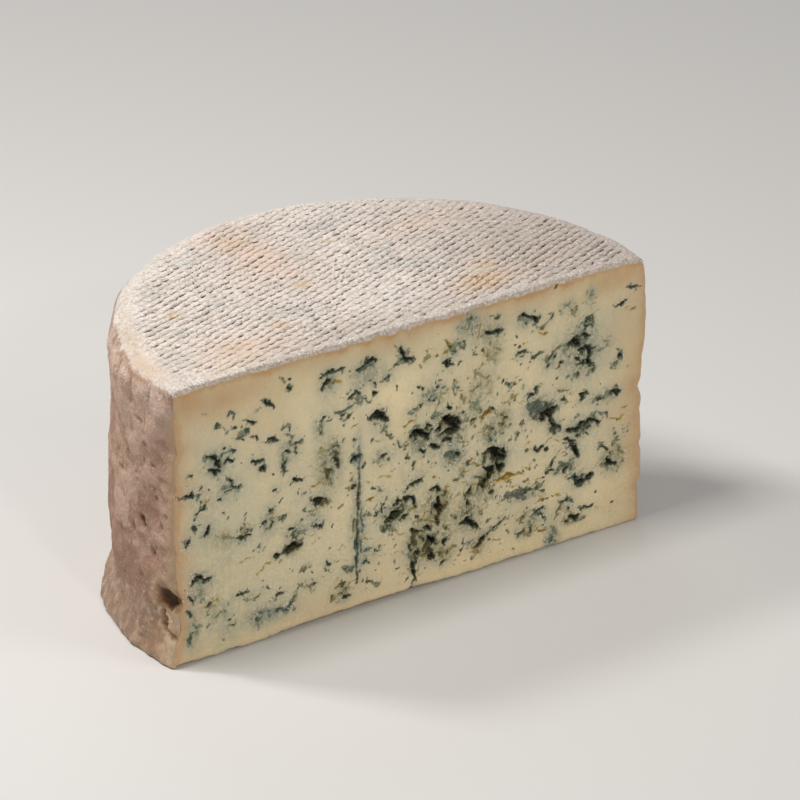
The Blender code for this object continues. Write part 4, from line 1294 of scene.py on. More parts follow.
def cutFace():
    width = 2.0 * wheel["radius"]
    height = wheel["height"]
    across = edgeSteps(width, paste["step"], wheel["cornerEdge"])
    upwards = edgeSteps(height, paste["step"], 1.2 * wheel["cutEdge"])
    cells = (len(upwards), len(across))
    outline = cutOutline(across / width, upwards / height)
    x = outline[..., 0].ravel()
    z = outline[..., 1].ravel()
    zero = np.zeros_like(x)

    def noise(size, seed, octaves=2):
        return softNoise(x, zero, z, size, seed, octaves)

    warpX = x.copy()
    warpZ = z.copy()
    for size, amount, seed in paste["warp"]:
        warpX += amount * noise(size, seed, 1)
        warpZ += amount * noise(size, seed + 1, 1)

    straightX = x + 0.35 * (warpX - x)
    opened = insideStrokes(warpX, warpZ, [*gathered("openings"), *paste["cores"]])
    pierced = insideStrokes(straightX, z, needle["openings"])
    spots = insideStrokes(warpX, warpZ, scatteredSpecks())
    blue = insideStrokes(warpX, warpZ, gathered("mould"))
    dusted = insideStrokes(straightX, z, needle["mould"])
    green = insideStrokes(warpX, warpZ, gathered("olive"))
    amber = insideStrokes(warpX, warpZ, gathered("amber")) - 0.12
    amber = np.maximum(amber, insideStrokes(warpX, warpZ, scatteredCracks()))
    clouds = softClouds(x, z, [*gathered("haze"), *needle["haze"]])
    mottle = softClouds(x, z, gathered("mottle"))
    veiled = softClouds(x, z, paste["veils"])
    rough = noise(1.0, 53)
    uneven = noise(5.0, 58)
    patches = softNoise(warpX, zero, warpZ * 0.8, 2.6, 60, 2)

    # how thickly the mould has grown: black holes, grey-green growth and mottled curd between
    curdJoints = 1.0 - 2.4 * np.abs(softNoise(warpX, zero, warpZ * 1.25, 3.4, 51, 2))
    flecks = softNoise(warpX, zero, warpZ * 1.3, 1.5, 52, 3)
    joints = mottle * ramp(curdJoints + 0.7 * flecks, 0.45, 1.05)
    nearest = np.maximum(np.maximum(opened, blue), green)
    halo = np.exp(np.minimum(nearest, 0.0) / paste["halo"])
    speckled = ramp(flecks + 0.62 * halo, 0.46, 0.92) * ramp(halo, 0.05, 0.45)
    # painted light: less mould colour on the lower walls of the hollows, where light from above falls, so
    # they look lit
    lit = ramp(np.gradient(opened.reshape(cells), axis=0).ravel() / paste["step"], 0.15, 0.75)
    lit = lit * ramp(opened, 0.0, 0.3) * fadeOut(opened, 0.8, 1.4)
    growth = 0.32 * np.exp(np.minimum(opened, 0.0) / 0.6)
    growth = growth + 0.74 * ramp(opened, -0.20, 0.40) - 0.36 * lit
    growth = np.maximum.reduce([
        growth,
        (0.45 + 0.38 * patches) * mouldShare(blue),
        (0.44 + 0.32 * patches) * mouldShare(green),
        0.60 * mouldShare(dusted) + 0.09 * ramp(pierced, -0.3, 0.3),
        0.50 * ramp(spots, -0.40, 0.20),
        0.66 * joints,
        mottle * (0.24 + 0.50 * flecks),
        0.46 * speckled,
    ])

    depth = paste["steepness"] * np.maximum(opened, 0.0) * (1.0 + 0.35 * noise(2.3, 54, 1))
    depth = np.minimum(depth, paste["deepest"]) + 0.50 * ramp(opened, 0.1, 0.9) * rough
    depth = np.maximum.reduce([
        depth,
        1.1 * ramp(joints, 0.45, 0.95),
        1.6 * ramp(pierced, -0.2, 0.5),
        0.55 * ramp(amber, -0.20, 0.20),
        0.30 * ramp(np.maximum(blue, green), -0.4, 0.5) * (1.0 + rough),
    ])
    lips = 0.17 * bump(opened, -0.45, 0.35)
    crumbly = 0.34 * np.clip(0.5 * halo + 0.7 * clouds + mottle, 0.0, 1.0) * rough

    # the cut itself: faint waves and drag marks of the knife, and a few broken curds
    waves = 0.16 * noise(9.0, 55) + 0.05 * softNoise(x, zero, z * 0.3, 1.4, 56, 2)
    curds = 0.11 * ramp(noise(3.2, 57), 0.15, 0.5)

    sideways = np.minimum(across, width - across)[None, :] + np.zeros((len(upwards), 1))
    below = upwards[:, None] + np.zeros((1, len(across)))
    above = height - below
    pull = np.zeros(cells)
    for away, edge in ((sideways, "cornerEdge"), (above, "cutEdge"), (below, "lowerEdge")):
        pull += edgePull(away + setBack(wheel[edge]), wheel[edge])
    pull = pull.ravel()
    sideways = sideways.ravel()
    below = below.ravel()
    above = above.ravel()

    # the rind where it is cut through: crumbly along the top, smooth at the sides
    crustEdge = paste["crustThickness"] * (1.0 + 0.40 * uneven) + 0.45 * rough
    reach, place, halfWidth = paste["crustTooth"]
    crustEdge = crustEdge + reach * bump(x, place, halfWidth)
    crust = fadeOut(above, crustEdge - 0.45, crustEdge + 0.25)
    crumble = crust * (0.35 * rough + 0.25 * uneven)
    line = bump(above, crustEdge + 0.8, 0.9) * (0.55 + 0.45 * uneven) * (1.0 - crust)
    broadly = 1.0 + 0.4 * noise(14.0, 49)
    tan = 0.95 * np.exp(-((np.maximum(above - crustEdge, 0.0) / (5.5 * broadly)) ** 1.3))
    tan = np.maximum(tan, 0.95 * np.exp(-((sideways / (np.where(x < 0.0, 6.0, 9.5) * broadly)) ** 1.4)))
    tan = np.maximum(tan, softClouds(x, z, paste["tanned"]))
    tan = np.clip(tan * (0.95 + 0.25 * uneven), 0.0, 1.0)

    surface = -wheel["cutOffset"] + depth + pull - lips - waves - curds - crumble - crumbly
    front = pointsAt(x, surface, z).reshape(len(upwards), len(across), 3)

    smearX, smearZ = (length / paste["step"] for length in paste["smear"])
    smeared = spreadOut(np.clip(growth, 0.0, 0.8).reshape(cells), smearX, smearZ).ravel()
    haze = smeared + 0.62 * clouds + 0.30 * mottle + 0.60 * veiled + 0.24 * halo - 0.16
    haze = np.clip(haze, 0.0, 1.0)
    sideSkinShare = 0.95 * bump(sideways, 0.0, 3.0 + 1.5 * uneven) * ramp(above, 1.0, 4.0)
    wet = (1.0 - 0.6 * ramp(z, 30.0, 70.0)) * ramp(noise(6.0, 59), -0.5, 0.3)
    wet = np.maximum(wet, softClouds(x, z, paste["wettest"]))
    brownish = 0.3 * bump(x, 24.0, 34.0) * fadeOut(z, 50.0, 75.0)
    brownish = 0.8 * softClouds(x, z, paste["brown"]) + brownish
    greener = ramp(green - np.maximum(blue, opened), -0.6, 0.6)
    slick = insideStrokes(warpX, warpZ, paste["slicks"])
    # where near-white beads go as painted glints: wet places near the mould and the cracks
    dewGlints = wet * ramp(np.maximum(nearest, amber), -2.6, -0.2) * fadeOut(depth, 0.6, 1.6)
    dewGlints = dewGlints * ramp(noise(3.4, 47), 0.05, 0.45)
    dewGlints = dewGlints * (1.0 - 0.9 * ramp(nearest, -0.5, 0.2))
    looks = {
        "growth": growth * (1.0 - crust),
        "skin": sideSkinShare,
        "olive": np.clip(greener + brownish * ramp(patches, -0.5, 0.2), 0.0, 1.0),
        "slick": ramp(slick, -0.5, 0.5) * fadeOut(opened, 0.2, 0.7),
        "haze": haze * (1.0 - crust),
        "blue": softClouds(x, z, paste["bluer"]),
        "amber": ramp(amber, -0.32, 0.30),
        "crust": crust,
        "line": np.clip(line, 0.0, 1.0) * 0.75,
        "tan": tan,
        "cream": softClouds(x, z, paste["creamyAndLit"]),
        "wet": np.maximum(wet, bump(below, 0.0, 2.2)) * (1.0 - crust),
        "dewGlints": dewGlints,
        "tufts": ramp(opened, -0.35, 0.0) * fadeOut(opened, 0.35, 0.9),
        "crumbs": crust * fadeOut(above, 0.9, 1.8),
    }

    border = borderPoints(front)
    middle = np.array([0.0, 0.0, height / 2])
    broken = bump(border[:, 2], 21.0, 12.0) * (border[:, 0] < 0.0)
    rings = []
    for back, shrink in paste["skirt"]:
        ring = border.copy()
        away = border - middle
        shrunk = shrink + broken * (1.8 + 0.75 * back)
        ring[:, 0] -= shrunk * np.sign(away[:, 0]) * ramp(np.abs(away[:, 0]), 90.0, 97.0)
        ring[:, 2] -= shrink * ramp(border[:, 2], 90.0, 98.0)
        lowered = np.maximum(0.6 * border[:, 2], wheel["lift"])
        ring[:, 2] = np.where(border[:, 2] < 6.0, lowered, ring[:, 2])
        ring[:, 1] = -wheel["cutOffset"] + back
        rings.append(ring)
    return slabPiece("cut_face", front, rings, looks, pasteMaterial)


cutPiece = cutFace()
print("cut face:", len(cutPiece.data.polygons), "faces")


# the top

topRind = {
    "cells": 402,            # across the cut; half as many towards the back
    "hiddenBack": 9.5,       # how far below the top its hidden back lies
    "fuzz": [(0.26, 1.25, 61), (0.20, 3.1, 62)],  # amount, size and seed
    # x, distance behind the cut, half sizes and strength
    "smooth": [
        (-66, 14, 6, 4, 0.5), (-96, 24, 6, 16, 0.9), (-82, 68, 9, 6, 0.6), (-60, 82, 10, 6, 0.5),
        (-36, 56, 5, 4, 0.5), (62, 56, 5, 4, 0.5), (12, 68, 5, 3, 0.5), (-15, 47, 5, 4, 0.9),
        (-66, 51, 4, 3, 0.8), (42, 22, 7, 5, 0.8), (75, 48, 6, 5, 0.5), (25, 97, 12, 4, 0.5),
        (94, 6, 3, 8, 0.4), (-62, 12, 4, 3, 0.6), (-88, 4, 9, 5, 0.5), (36, 57, 3, 2, 0.5),
        (55, 63, 3, 3, 0.6), (-10, 72, 6, 3, 0.5),
    ],
    "rosy": [
        (-62, 14, 16, 9, 0.9), (-14, 76, 10, 24, 0.8), (-28, 60, 9, 14, 0.35), (40, 14, 14, 7, 0.6),
        (48, 66, 18, 8, 0.4), (-96, 24, 5, 14, 0.9), (-88, 44, 4, 12, 0.4), (46, 26, 6, 5, 0.6),
        (-40, 23, 4, 3, 0.9), (-14, 96, 14, 5, 0.6), (-78, 8, 8, 5, 0.4), (0, 62, 8, 5, 0.3),
        (66, 18, 8, 5, 0.25),
    ],
    "tan": [
        (-40, 23, 2.0, 1.6, 1.0), (-65.5, 50, 2.8, 3.0, 1.0), (-15, 46, 3.2, 2.4, 1.0),
        (-23, 84, 1.6, 1.2, 0.9), (39, 14, 9, 7, 0.95), (-16, 88, 6, 7, 0.5), (-66, 5, 7, 3, 0.5),
        (-20, 68, 5, 3, 0.4), (28, 13, 3, 2, 0.45), (13, 70, 1.8, 1.4, 1.0), (48, 24, 4, 3, 0.7),
        (-63, 17, 6, 4, 0.35), (-24, 7, 2, 1.5, 0.5), (20, 3, 4, 2, 0.4), (57, 36, 3, 2, 0.3),
        (-76, 3, 6, 3, 0.4),
    ],
}


def rimLooks(x, y):
    # what top and side share: rosy stains, and the bloom greyer and darker on the right and along the
    # cut, on the right partly painted shade where less light falls
    back = y + wheel["cutOffset"]
    ragged = x + 5.0 * softNoise(x, y, np.zeros_like(x), 9.0, 67, 2)
    right = 0.95 * ramp(ragged, 20.0, 75.0) * (1.0 - 0.5 * ramp(back, 35.0, 85.0))
    along = 0.50 * ramp(ragged, -75.0, -40.0) * fadeOut(back, 5.0, 22.0)
    return {"stain": softClouds(x, back, topRind["rosy"]), "worn": np.maximum(right, along)}


def halfDisc(across, back):
    # a grid from -1 to 1 across and 0 to 1 back, laid evenly over half a disc: reach and turn
    wide = np.abs(across) > back
    reach = np.where(wide, np.abs(across), back)
    safe = np.where(reach > 0.0, reach, 1.0)
    lean = np.where(wide, back, across) / safe * (math.pi / 4)
    turn = np.where(wide, np.where(across > 0.0, lean, math.pi - lean), math.pi / 2 - lean)
    return reach, turn


def topFace():
    across = np.linspace(-1.0, 1.0, topRind["cells"] + 1)
    rows = np.linspace(0.0, 1.0, topRind["cells"] // 2 + 1) ** 1.05
    share, turn = halfDisc(*np.meshgrid(across, rows))
    along = share * (planReach(turn) + shoulderRadius(turn) * (wheel["seam"] + wheel["overlap"] - 1.0))
    distance, height, lean = topSkin(turn, along)
    x, y = planPoint(turn, distance)
    edge = wheel["cutEdge"]
    back = y + wheel["cutOffset"]
    back = back + setBack(edge) * np.exp(-back / 2.0)
    y = back - wheel["cutOffset"]

    zero = np.zeros_like(x)
    flat = fadeOut(lean, 0.0, wheel["seam"] - 0.1)
    granular = ramp(-x, 72.0, 84.0) * fadeOut(back, 6.0, 13.0)
    granular = np.maximum(granular, fadeOut(back + 1.6 * softNoise(x, y, zero, 3.0, 66), 1.2, 3.8))
    fuzz = layeredNoise(x, y, zero, topRind["fuzz"])
    plainer = 1.0 - 0.6 * ramp(x, -40.0, 50.0)
    fuzz = fuzz + 0.42 * granular * plainer * softNoise(x, y, zero, 1.5, 64, 2)
    fuzz = fuzz - 0.15 * bump(back, 0.0, 1.6)
    front = pointsAt(x, y, height - edgePull(back, edge))
    outward = pointsAt(np.cos(turn) * np.sin(lean), np.sin(turn) * np.sin(lean), np.cos(lean))
    # the grain of the whole rind is the same for top and side, so that they meet
    relief = layeredNoise(x, y, height, wheel["grain"]) + fuzz * flat - tucked(lean - wheel["seam"])
    front = front + outward * relief[..., None]

    smooth = softClouds(x, back, topRind["smooth"])
    pressed = fadeOut(lean, 0.0, 0.30) * ramp(back, 1.4, 4.2) * (1.0 - 0.9 * smooth)
    rim = planReach(turn) - shoulderRadius(turn) - np.hypot(x, back)
    pressed = pressed * ramp(rim, -3.0, 4.0 + 5.0 * bump(turn, 2.6, 0.5)) * (1.0 - 0.75 * granular)
    pressed = pressed * (0.55 + 0.45 * ramp(softNoise(x, y, zero, 15.0, 65, 2), -0.40, 0.15))
    pressed = pressed * (1.0 + 0.35 * ramp(x, 10.0, 60.0) * fadeOut(back, 18.0, 45.0))
    looks = {
        "pressed": np.clip(pressed, 0.0, 1.3),
        **rimLooks(x, y),
        "tint": np.maximum(softClouds(x, back, topRind["tan"]), tanRim(turn, lean, x, y, height)),
        "bloom": bloomShare(turn, lean, x, y, height),
        "crumbs": 0.05 + (bump(back, 0.0, 1.5) + 0.5 * granular) * plainer,
        "raised": 0.5 + zero,
    }

    border = borderPoints(front)
    plan = np.hypot(border[:, 0], border[:, 1])
    rings = []
    hiddenBack = wheel["height"] - topRind["hiddenBack"]
    onCut = border[:, 1] < -wheel["cutOffset"] + 2.0
    for inset, level in ((1.0, border[:, 2] - 0.9), (3.0, hiddenBack)):
        ring = border.copy()
        shrink = (plan - inset) / plan
        ring[:, 0] *= shrink
        ring[:, 1] = np.where(onCut, border[:, 1] + inset, border[:, 1] * shrink)
        ring[:, 2] = level
        rings.append(ring)
    return slabPiece("top_rind", front, rings, looks, rindMaterial)


# The mat that the wheel lay on has pressed grooves with short slits into its top. The tree lays
# them out by row and by place in the row, every slit a little different.
matPrint = {
    "Row Pitch": 3.0,
    "Slit Length": 4.4,
    "Slit Width": 0.40,
    "Slit Depth": 1.2,
    "Ridge Height": 0.32,
    "Row Angle": 19.2,
    "Bend": 0.00015,
}


def newTree(name, inputs):
    tree = bpy.data.node_groups.new(name, "GeometryNodeTree")
    tree.interface.new_socket(name="Geometry", in_out="INPUT", socket_type="NodeSocketGeometry")
    for label, value in inputs.items():
        kind = {int: "NodeSocketInt", float: "NodeSocketFloat", str: "NodeSocketString"}.get(type(value))
        kind = kind or "NodeSocketMaterial"
        socket = tree.interface.new_socket(name=label, in_out="INPUT", socket_type=kind)
        socket.default_value = value
    tree.interface.new_socket(name="Geometry", in_out="OUTPUT", socket_type="NodeSocketGeometry")
    return tree


class Plan(Nodes):
    # a geometry tree under construction; lengths are millimetres

    def __init__(self, tree):
        super().__init__(tree)
        self.given = tree.nodes.new("NodeGroupInput").outputs
        self.out = tree.nodes.new("NodeGroupOutput").inputs

    def places(self):
        grown = self.add("ShaderNodeVectorMath", operation="SCALE")
        self.join(self.add("GeometryNodeInputPosition").outputs[0], grown.inputs[0])
        self.join(1.0 / mm, grown.inputs["Scale"])
        return grown.outputs[0]

    def noise(self, places, size, detail=1.0):
        # from -0.5 to 0.5
        node = self.add("ShaderNodeTexNoise", {"Vector": places, "Scale": 1.0 / size, "Detail": detail})
        return self.sum("SUBTRACT", node.outputs[0], 0.5)

    def attribute(self, name):
        node = self.add("GeometryNodeInputNamedAttribute", {"Name": name}, data_type="FLOAT")
        return node.outputs["Attribute"]

    def keep(self, geometry, name, value):
        node = self.add("GeometryNodeStoreNamedAttribute", {"Geometry": geometry, "Name": name},
                        data_type="FLOAT", domain="POINT")
        self.join(value, node.inputs["Value"])
        return node.outputs["Geometry"]

    def swell(self, geometry, height):
        # moves the surface out along its normal by height mm
        scaled = self.add("ShaderNodeVectorMath", operation="SCALE")
        self.join(self.add("GeometryNodeInputNormal").outputs[0], scaled.inputs[0])
        self.join(self.times(height, mm), scaled.inputs["Scale"])
        moved = self.add("GeometryNodeSetPosition", {"Geometry": geometry, "Offset": scaled.outputs[0]})
        return moved.outputs[0]

    def finish(self, geometry, material):
        real = self.add("GeometryNodeRealizeInstances", {"Geometry": geometry})
        painted = self.add("GeometryNodeSetMaterial", {"Geometry": real.outputs[0], "Material": material})
        self.join(painted.outputs[0], self.out["Geometry"])


def matPrintTree():
    tree = newTree("mat print", {**matPrint, "Material": rindMaterial})
    plan = Plan(tree)
    given = plan.given
    places = plan.places()
    axes = plan.add("ShaderNodeSeparateXYZ", {"Vector": places}).outputs

    angle = plan.sum("RADIANS", given["Row Angle"])
    cosine = plan.sum("COSINE", angle)
    sine = plan.sum("SINE", angle)
    along = plan.sum("ADD", plan.times(axes["X"], cosine), plan.times(axes["Y"], sine))
    over = plan.sum("SUBTRACT", plan.times(axes["Y"], cosine), plan.times(axes["X"], sine))
    over = plan.sum("SUBTRACT", over, plan.times(axes["X"], axes["X"], given["Bend"]))
    over = plan.sum("MULTIPLY_ADD", plan.noise(places, 26.0, 2.0), 3.6, over)
    over = plan.sum("MULTIPLY_ADD", plan.noise(places, 6.0), 1.3, over)
    over = plan.sum("MULTIPLY_ADD", plan.noise(places, 2.0), 0.5, over)

    row = plan.sum("DIVIDE", over, given["Row Pitch"])
    place = plan.sum("DIVIDE", along, given["Slit Length"])
    away, slit = plan.slits(row, place)
    pressed = plan.attribute("pressed")

    # each ridge is rounded like a cord and lumpy along its length
    fromCrest = plan.sum("SUBTRACT", 1.0, away)
    cord = plan.sum("SUBTRACT", 1.0, plan.times(fromCrest, fromCrest))
    cord = plan.sum("SQRT", plan.sum("MAXIMUM", cord, 0.0))
    cord = plan.times(plan.sum("SUBTRACT", cord, 0.75), given["Ridge Height"])
    stretched = plan.add("ShaderNodeCombineXYZ", {"X": along, "Y": plan.times(over, 0.45)}).outputs[0]
    lumps = plan.times(plan.noise(stretched, 1.3, 2.0), 0.55)
    narrow = plan.sum("DIVIDE", plan.times(given["Slit Width"], 2.0), given["Row Pitch"])
    cut = plan.step(away, plan.times(narrow, 2.0), plan.times(narrow, 0.4))
    cut = plan.times(cut, slit, given["Slit Depth"])
    height = plan.sum("SUBTRACT", plan.sum("ADD", cord, lumps), cut)

    geometry = plan.keep(given["Geometry"], "row", row)
    geometry = plan.keep(geometry, "along", place)
    plan.finish(plan.swell(geometry, plan.times(height, pressed)), given["Material"])
    return tree


def runTree(piece, tree, values):
    # the evaluated result as a plain mesh; the modifier is gone again afterwards
    modifier = piece.modifiers.new(tree.name, "NODES")
    modifier.node_group = tree
    for item in tree.interface.items_tree:
        if item.in_out == "INPUT" and item.name in values:
            modifier[item.identifier] = values[item.name]
    depsgraph = bpy.context.evaluated_depsgraph_get()
    made = bpy.data.meshes.new_from_object(
        piece.evaluated_get(depsgraph), preserve_all_data_layers=True, depsgraph=depsgraph
    )
    piece.modifiers.remove(modifier)
    return made


topPiece = topFace()
topPiece.data = runTree(topPiece, matPrintTree(), matPrint)
print("top rind:", len(topPiece.data.polygons), "faces")


# the side

sideRind = {
    "step": 0.62,
    "thickness": 8.0,
    # mm back from the left end of the cut, height, half sizes and depth
    "pits": [
        (13.2, 97.0, 0.8, 3.6, 0.9), (25.8, 97.5, 0.9, 3.4, 0.9), (37.4, 98.0, 0.9, 3.0, 0.8),
        (21.5, 86.0, 3.6, 0.7, 0.7), (6.0, 69.0, 3.0, 0.8, 0.5), (30.0, 66.0, 4.0, 0.8, 0.5),
        (20.3, 49.0, 2.2, 1.5, 1.6), (19.0, 47.3, 1.4, 1.2, 1.2), (39.0, 60.0, 1.8, 0.9, 1.0),
        (16.5, 78.5, 1.3, 0.7, 1.0), (17.2, 72.0, 0.6, 1.2, 0.9), (11.5, 72.4, 1.2, 0.5, 0.9),
        (23.0, 65.5, 1.2, 0.5, 0.8), (10.3, 42.0, 0.6, 0.7, 0.8), (33.0, 84.0, 2.6, 0.6, 0.7),
        (28.0, 90.0, 0.9, 0.8, 0.6), (17.0, 94.0, 0.6, 0.8, 0.6), (11.0, 63.5, 0.9, 1.4, 0.5),
        (3.0, 81.0, 3.2, 1.6, 0.4), (13.0, 54.0, 5.0, 2.2, 0.5), (39.0, 97.0, 1.6, 0.6, 0.7),
        (23.0, 96.0, 0.7, 0.6, 0.5), (34.0, 22.0, 1.6, 0.7, 0.7), (29.5, 26.0, 1.0, 0.6, 0.6),
        (15.5, 88.0, 0.35, 6.5, 0.5), (40.0, 38.0, 1.4, 0.9, 0.4), (14.0, 102.5, 3.2, 0.9, 0.9),
        (48.0, 52.0, 2.4, 1.0, 0.6), (55.0, 76.0, 3.0, 1.2, 0.6), (13.5, 6.0, 3.6, 2.6, 0.7),
        (20.0, 4.5, 1.5, 1.2, 0.8), (2.0, 11.0, 1.8, 0.8, 0.8),
    ],
    # the same, but standing out
    "lumps": [
        (7.0, 94.5, 5.0, 4.5, 1.1), (19.5, 95.0, 5.5, 4.0, 1.3), (31.5, 95.5, 5.0, 4.5, 1.3),
        (43.0, 96.0, 6.0, 4.0, 1.1), (12.0, 84.0, 3.6, 4.6, 0.7), (27.0, 74.0, 5.5, 5.0, 0.6),
        (11.0, 47.0, 5.0, 4.0, 0.5), (36.0, 47.0, 7.0, 5.0, 0.6), (33.0, 88.0, 4.5, 5.0, 0.8),
        (22.0, 80.0, 3.0, 6.0, 0.5), (8.0, 90.0, 4.5, 6.0, 0.6), (30.0, 56.0, 6.0, 5.0, 0.6),
        (13.0, 66.0, 4.0, 5.0, 0.4), (25.0, 97.0, 5.0, 3.0, 0.7), (45.0, 99.0, 7.0, 2.5, 0.6),
        (18.0, 35.0, 5.0, 7.0, 0.4), (40.0, 30.0, 7.0, 6.0, 0.6), (22.0, 12.0, 3.0, 4.0, 0.9),
        (14.0, 13.0, 2.4, 3.0, 0.7), (4.0, 5.0, 4.0, 3.0, 0.6), (30.0, 8.0, 6.0, 5.0, 0.6),
    ],
    # the same, but only darker
    "bruises": [(16.0, 6.0, 5.0, 3.0, 1.0), (2.0, 11.0, 2.0, 1.2, 1.4)],
    "hollow": (5.2, 25.0, 4.8, 4.9, 3.4),  # the deep one, and the crevice that runs down from it:
    "crevice": (2.8, 7.6, 19.0, 7.2, 16.0, 6.0, 13.0, 2.4, 10.8),  # its width, then its points
    "footHeight": 20.0,      # of the moist foot near the left end;
    "footFall": (0.13, 20.0, 55.0),  # it falls by this much per mm, from here and so far,
    "footCorner": (5.0, 3.0, 6.0),   # and is higher at the corner: gain, place and spread
    "footWaves": [(2.0, 16.0, 72), (1.0, 4.0, 73)],  # amount, size and seed
    "smallPits": 300,        # further ones, anywhere
    "widePits": 14,          # and away from the left end
    "wanderSeed": 71,
    "hidden": (6.0, 9.0),    # its inner wall stops this far above the table and below the top
}


def ragBumps(a, z, bumps):
    total = np.zeros(a.shape)
    for ca, cz, halfA, halfZ, amount in bumps:
        near = (np.abs(a - ca) < 3.0 * halfA) & (np.abs(z - cz) < 3.0 * halfZ)
        part = ((a[near] - ca) / halfA) ** 2 + ((z[near] - cz) / halfZ) ** 2
        total[near] = np.maximum(total[near], amount * np.exp(-(part**1.4)))
    return total


def furtherPits(length):
    # the same kind of pits over the rest of the side
    draw = np.random.default_rng(sideRind["wanderSeed"])
    pits = []
    for number in range(sideRind["smallPits"]):
        a = draw.uniform(2.0, length - 2.0)
        z = draw.uniform(14.0, 100.0)
        small = draw.uniform(0.35, 1.0) ** 2
        pits.append((a, z, draw.uniform(0.5, 1.9) * small + 0.25, draw.uniform(0.5, 1.6) * small + 0.25,
                     draw.uniform(0.35, 1.3) * small))
    for number in range(sideRind["widePits"]):
        a = draw.uniform(62.0, length - 2.0)
        z = draw.uniform(20.0, 96.0)
        pits.append((a, z, draw.uniform(1.0, 2.6), draw.uniform(0.6, 1.6), draw.uniform(0.5, 1.1)))
    return pits


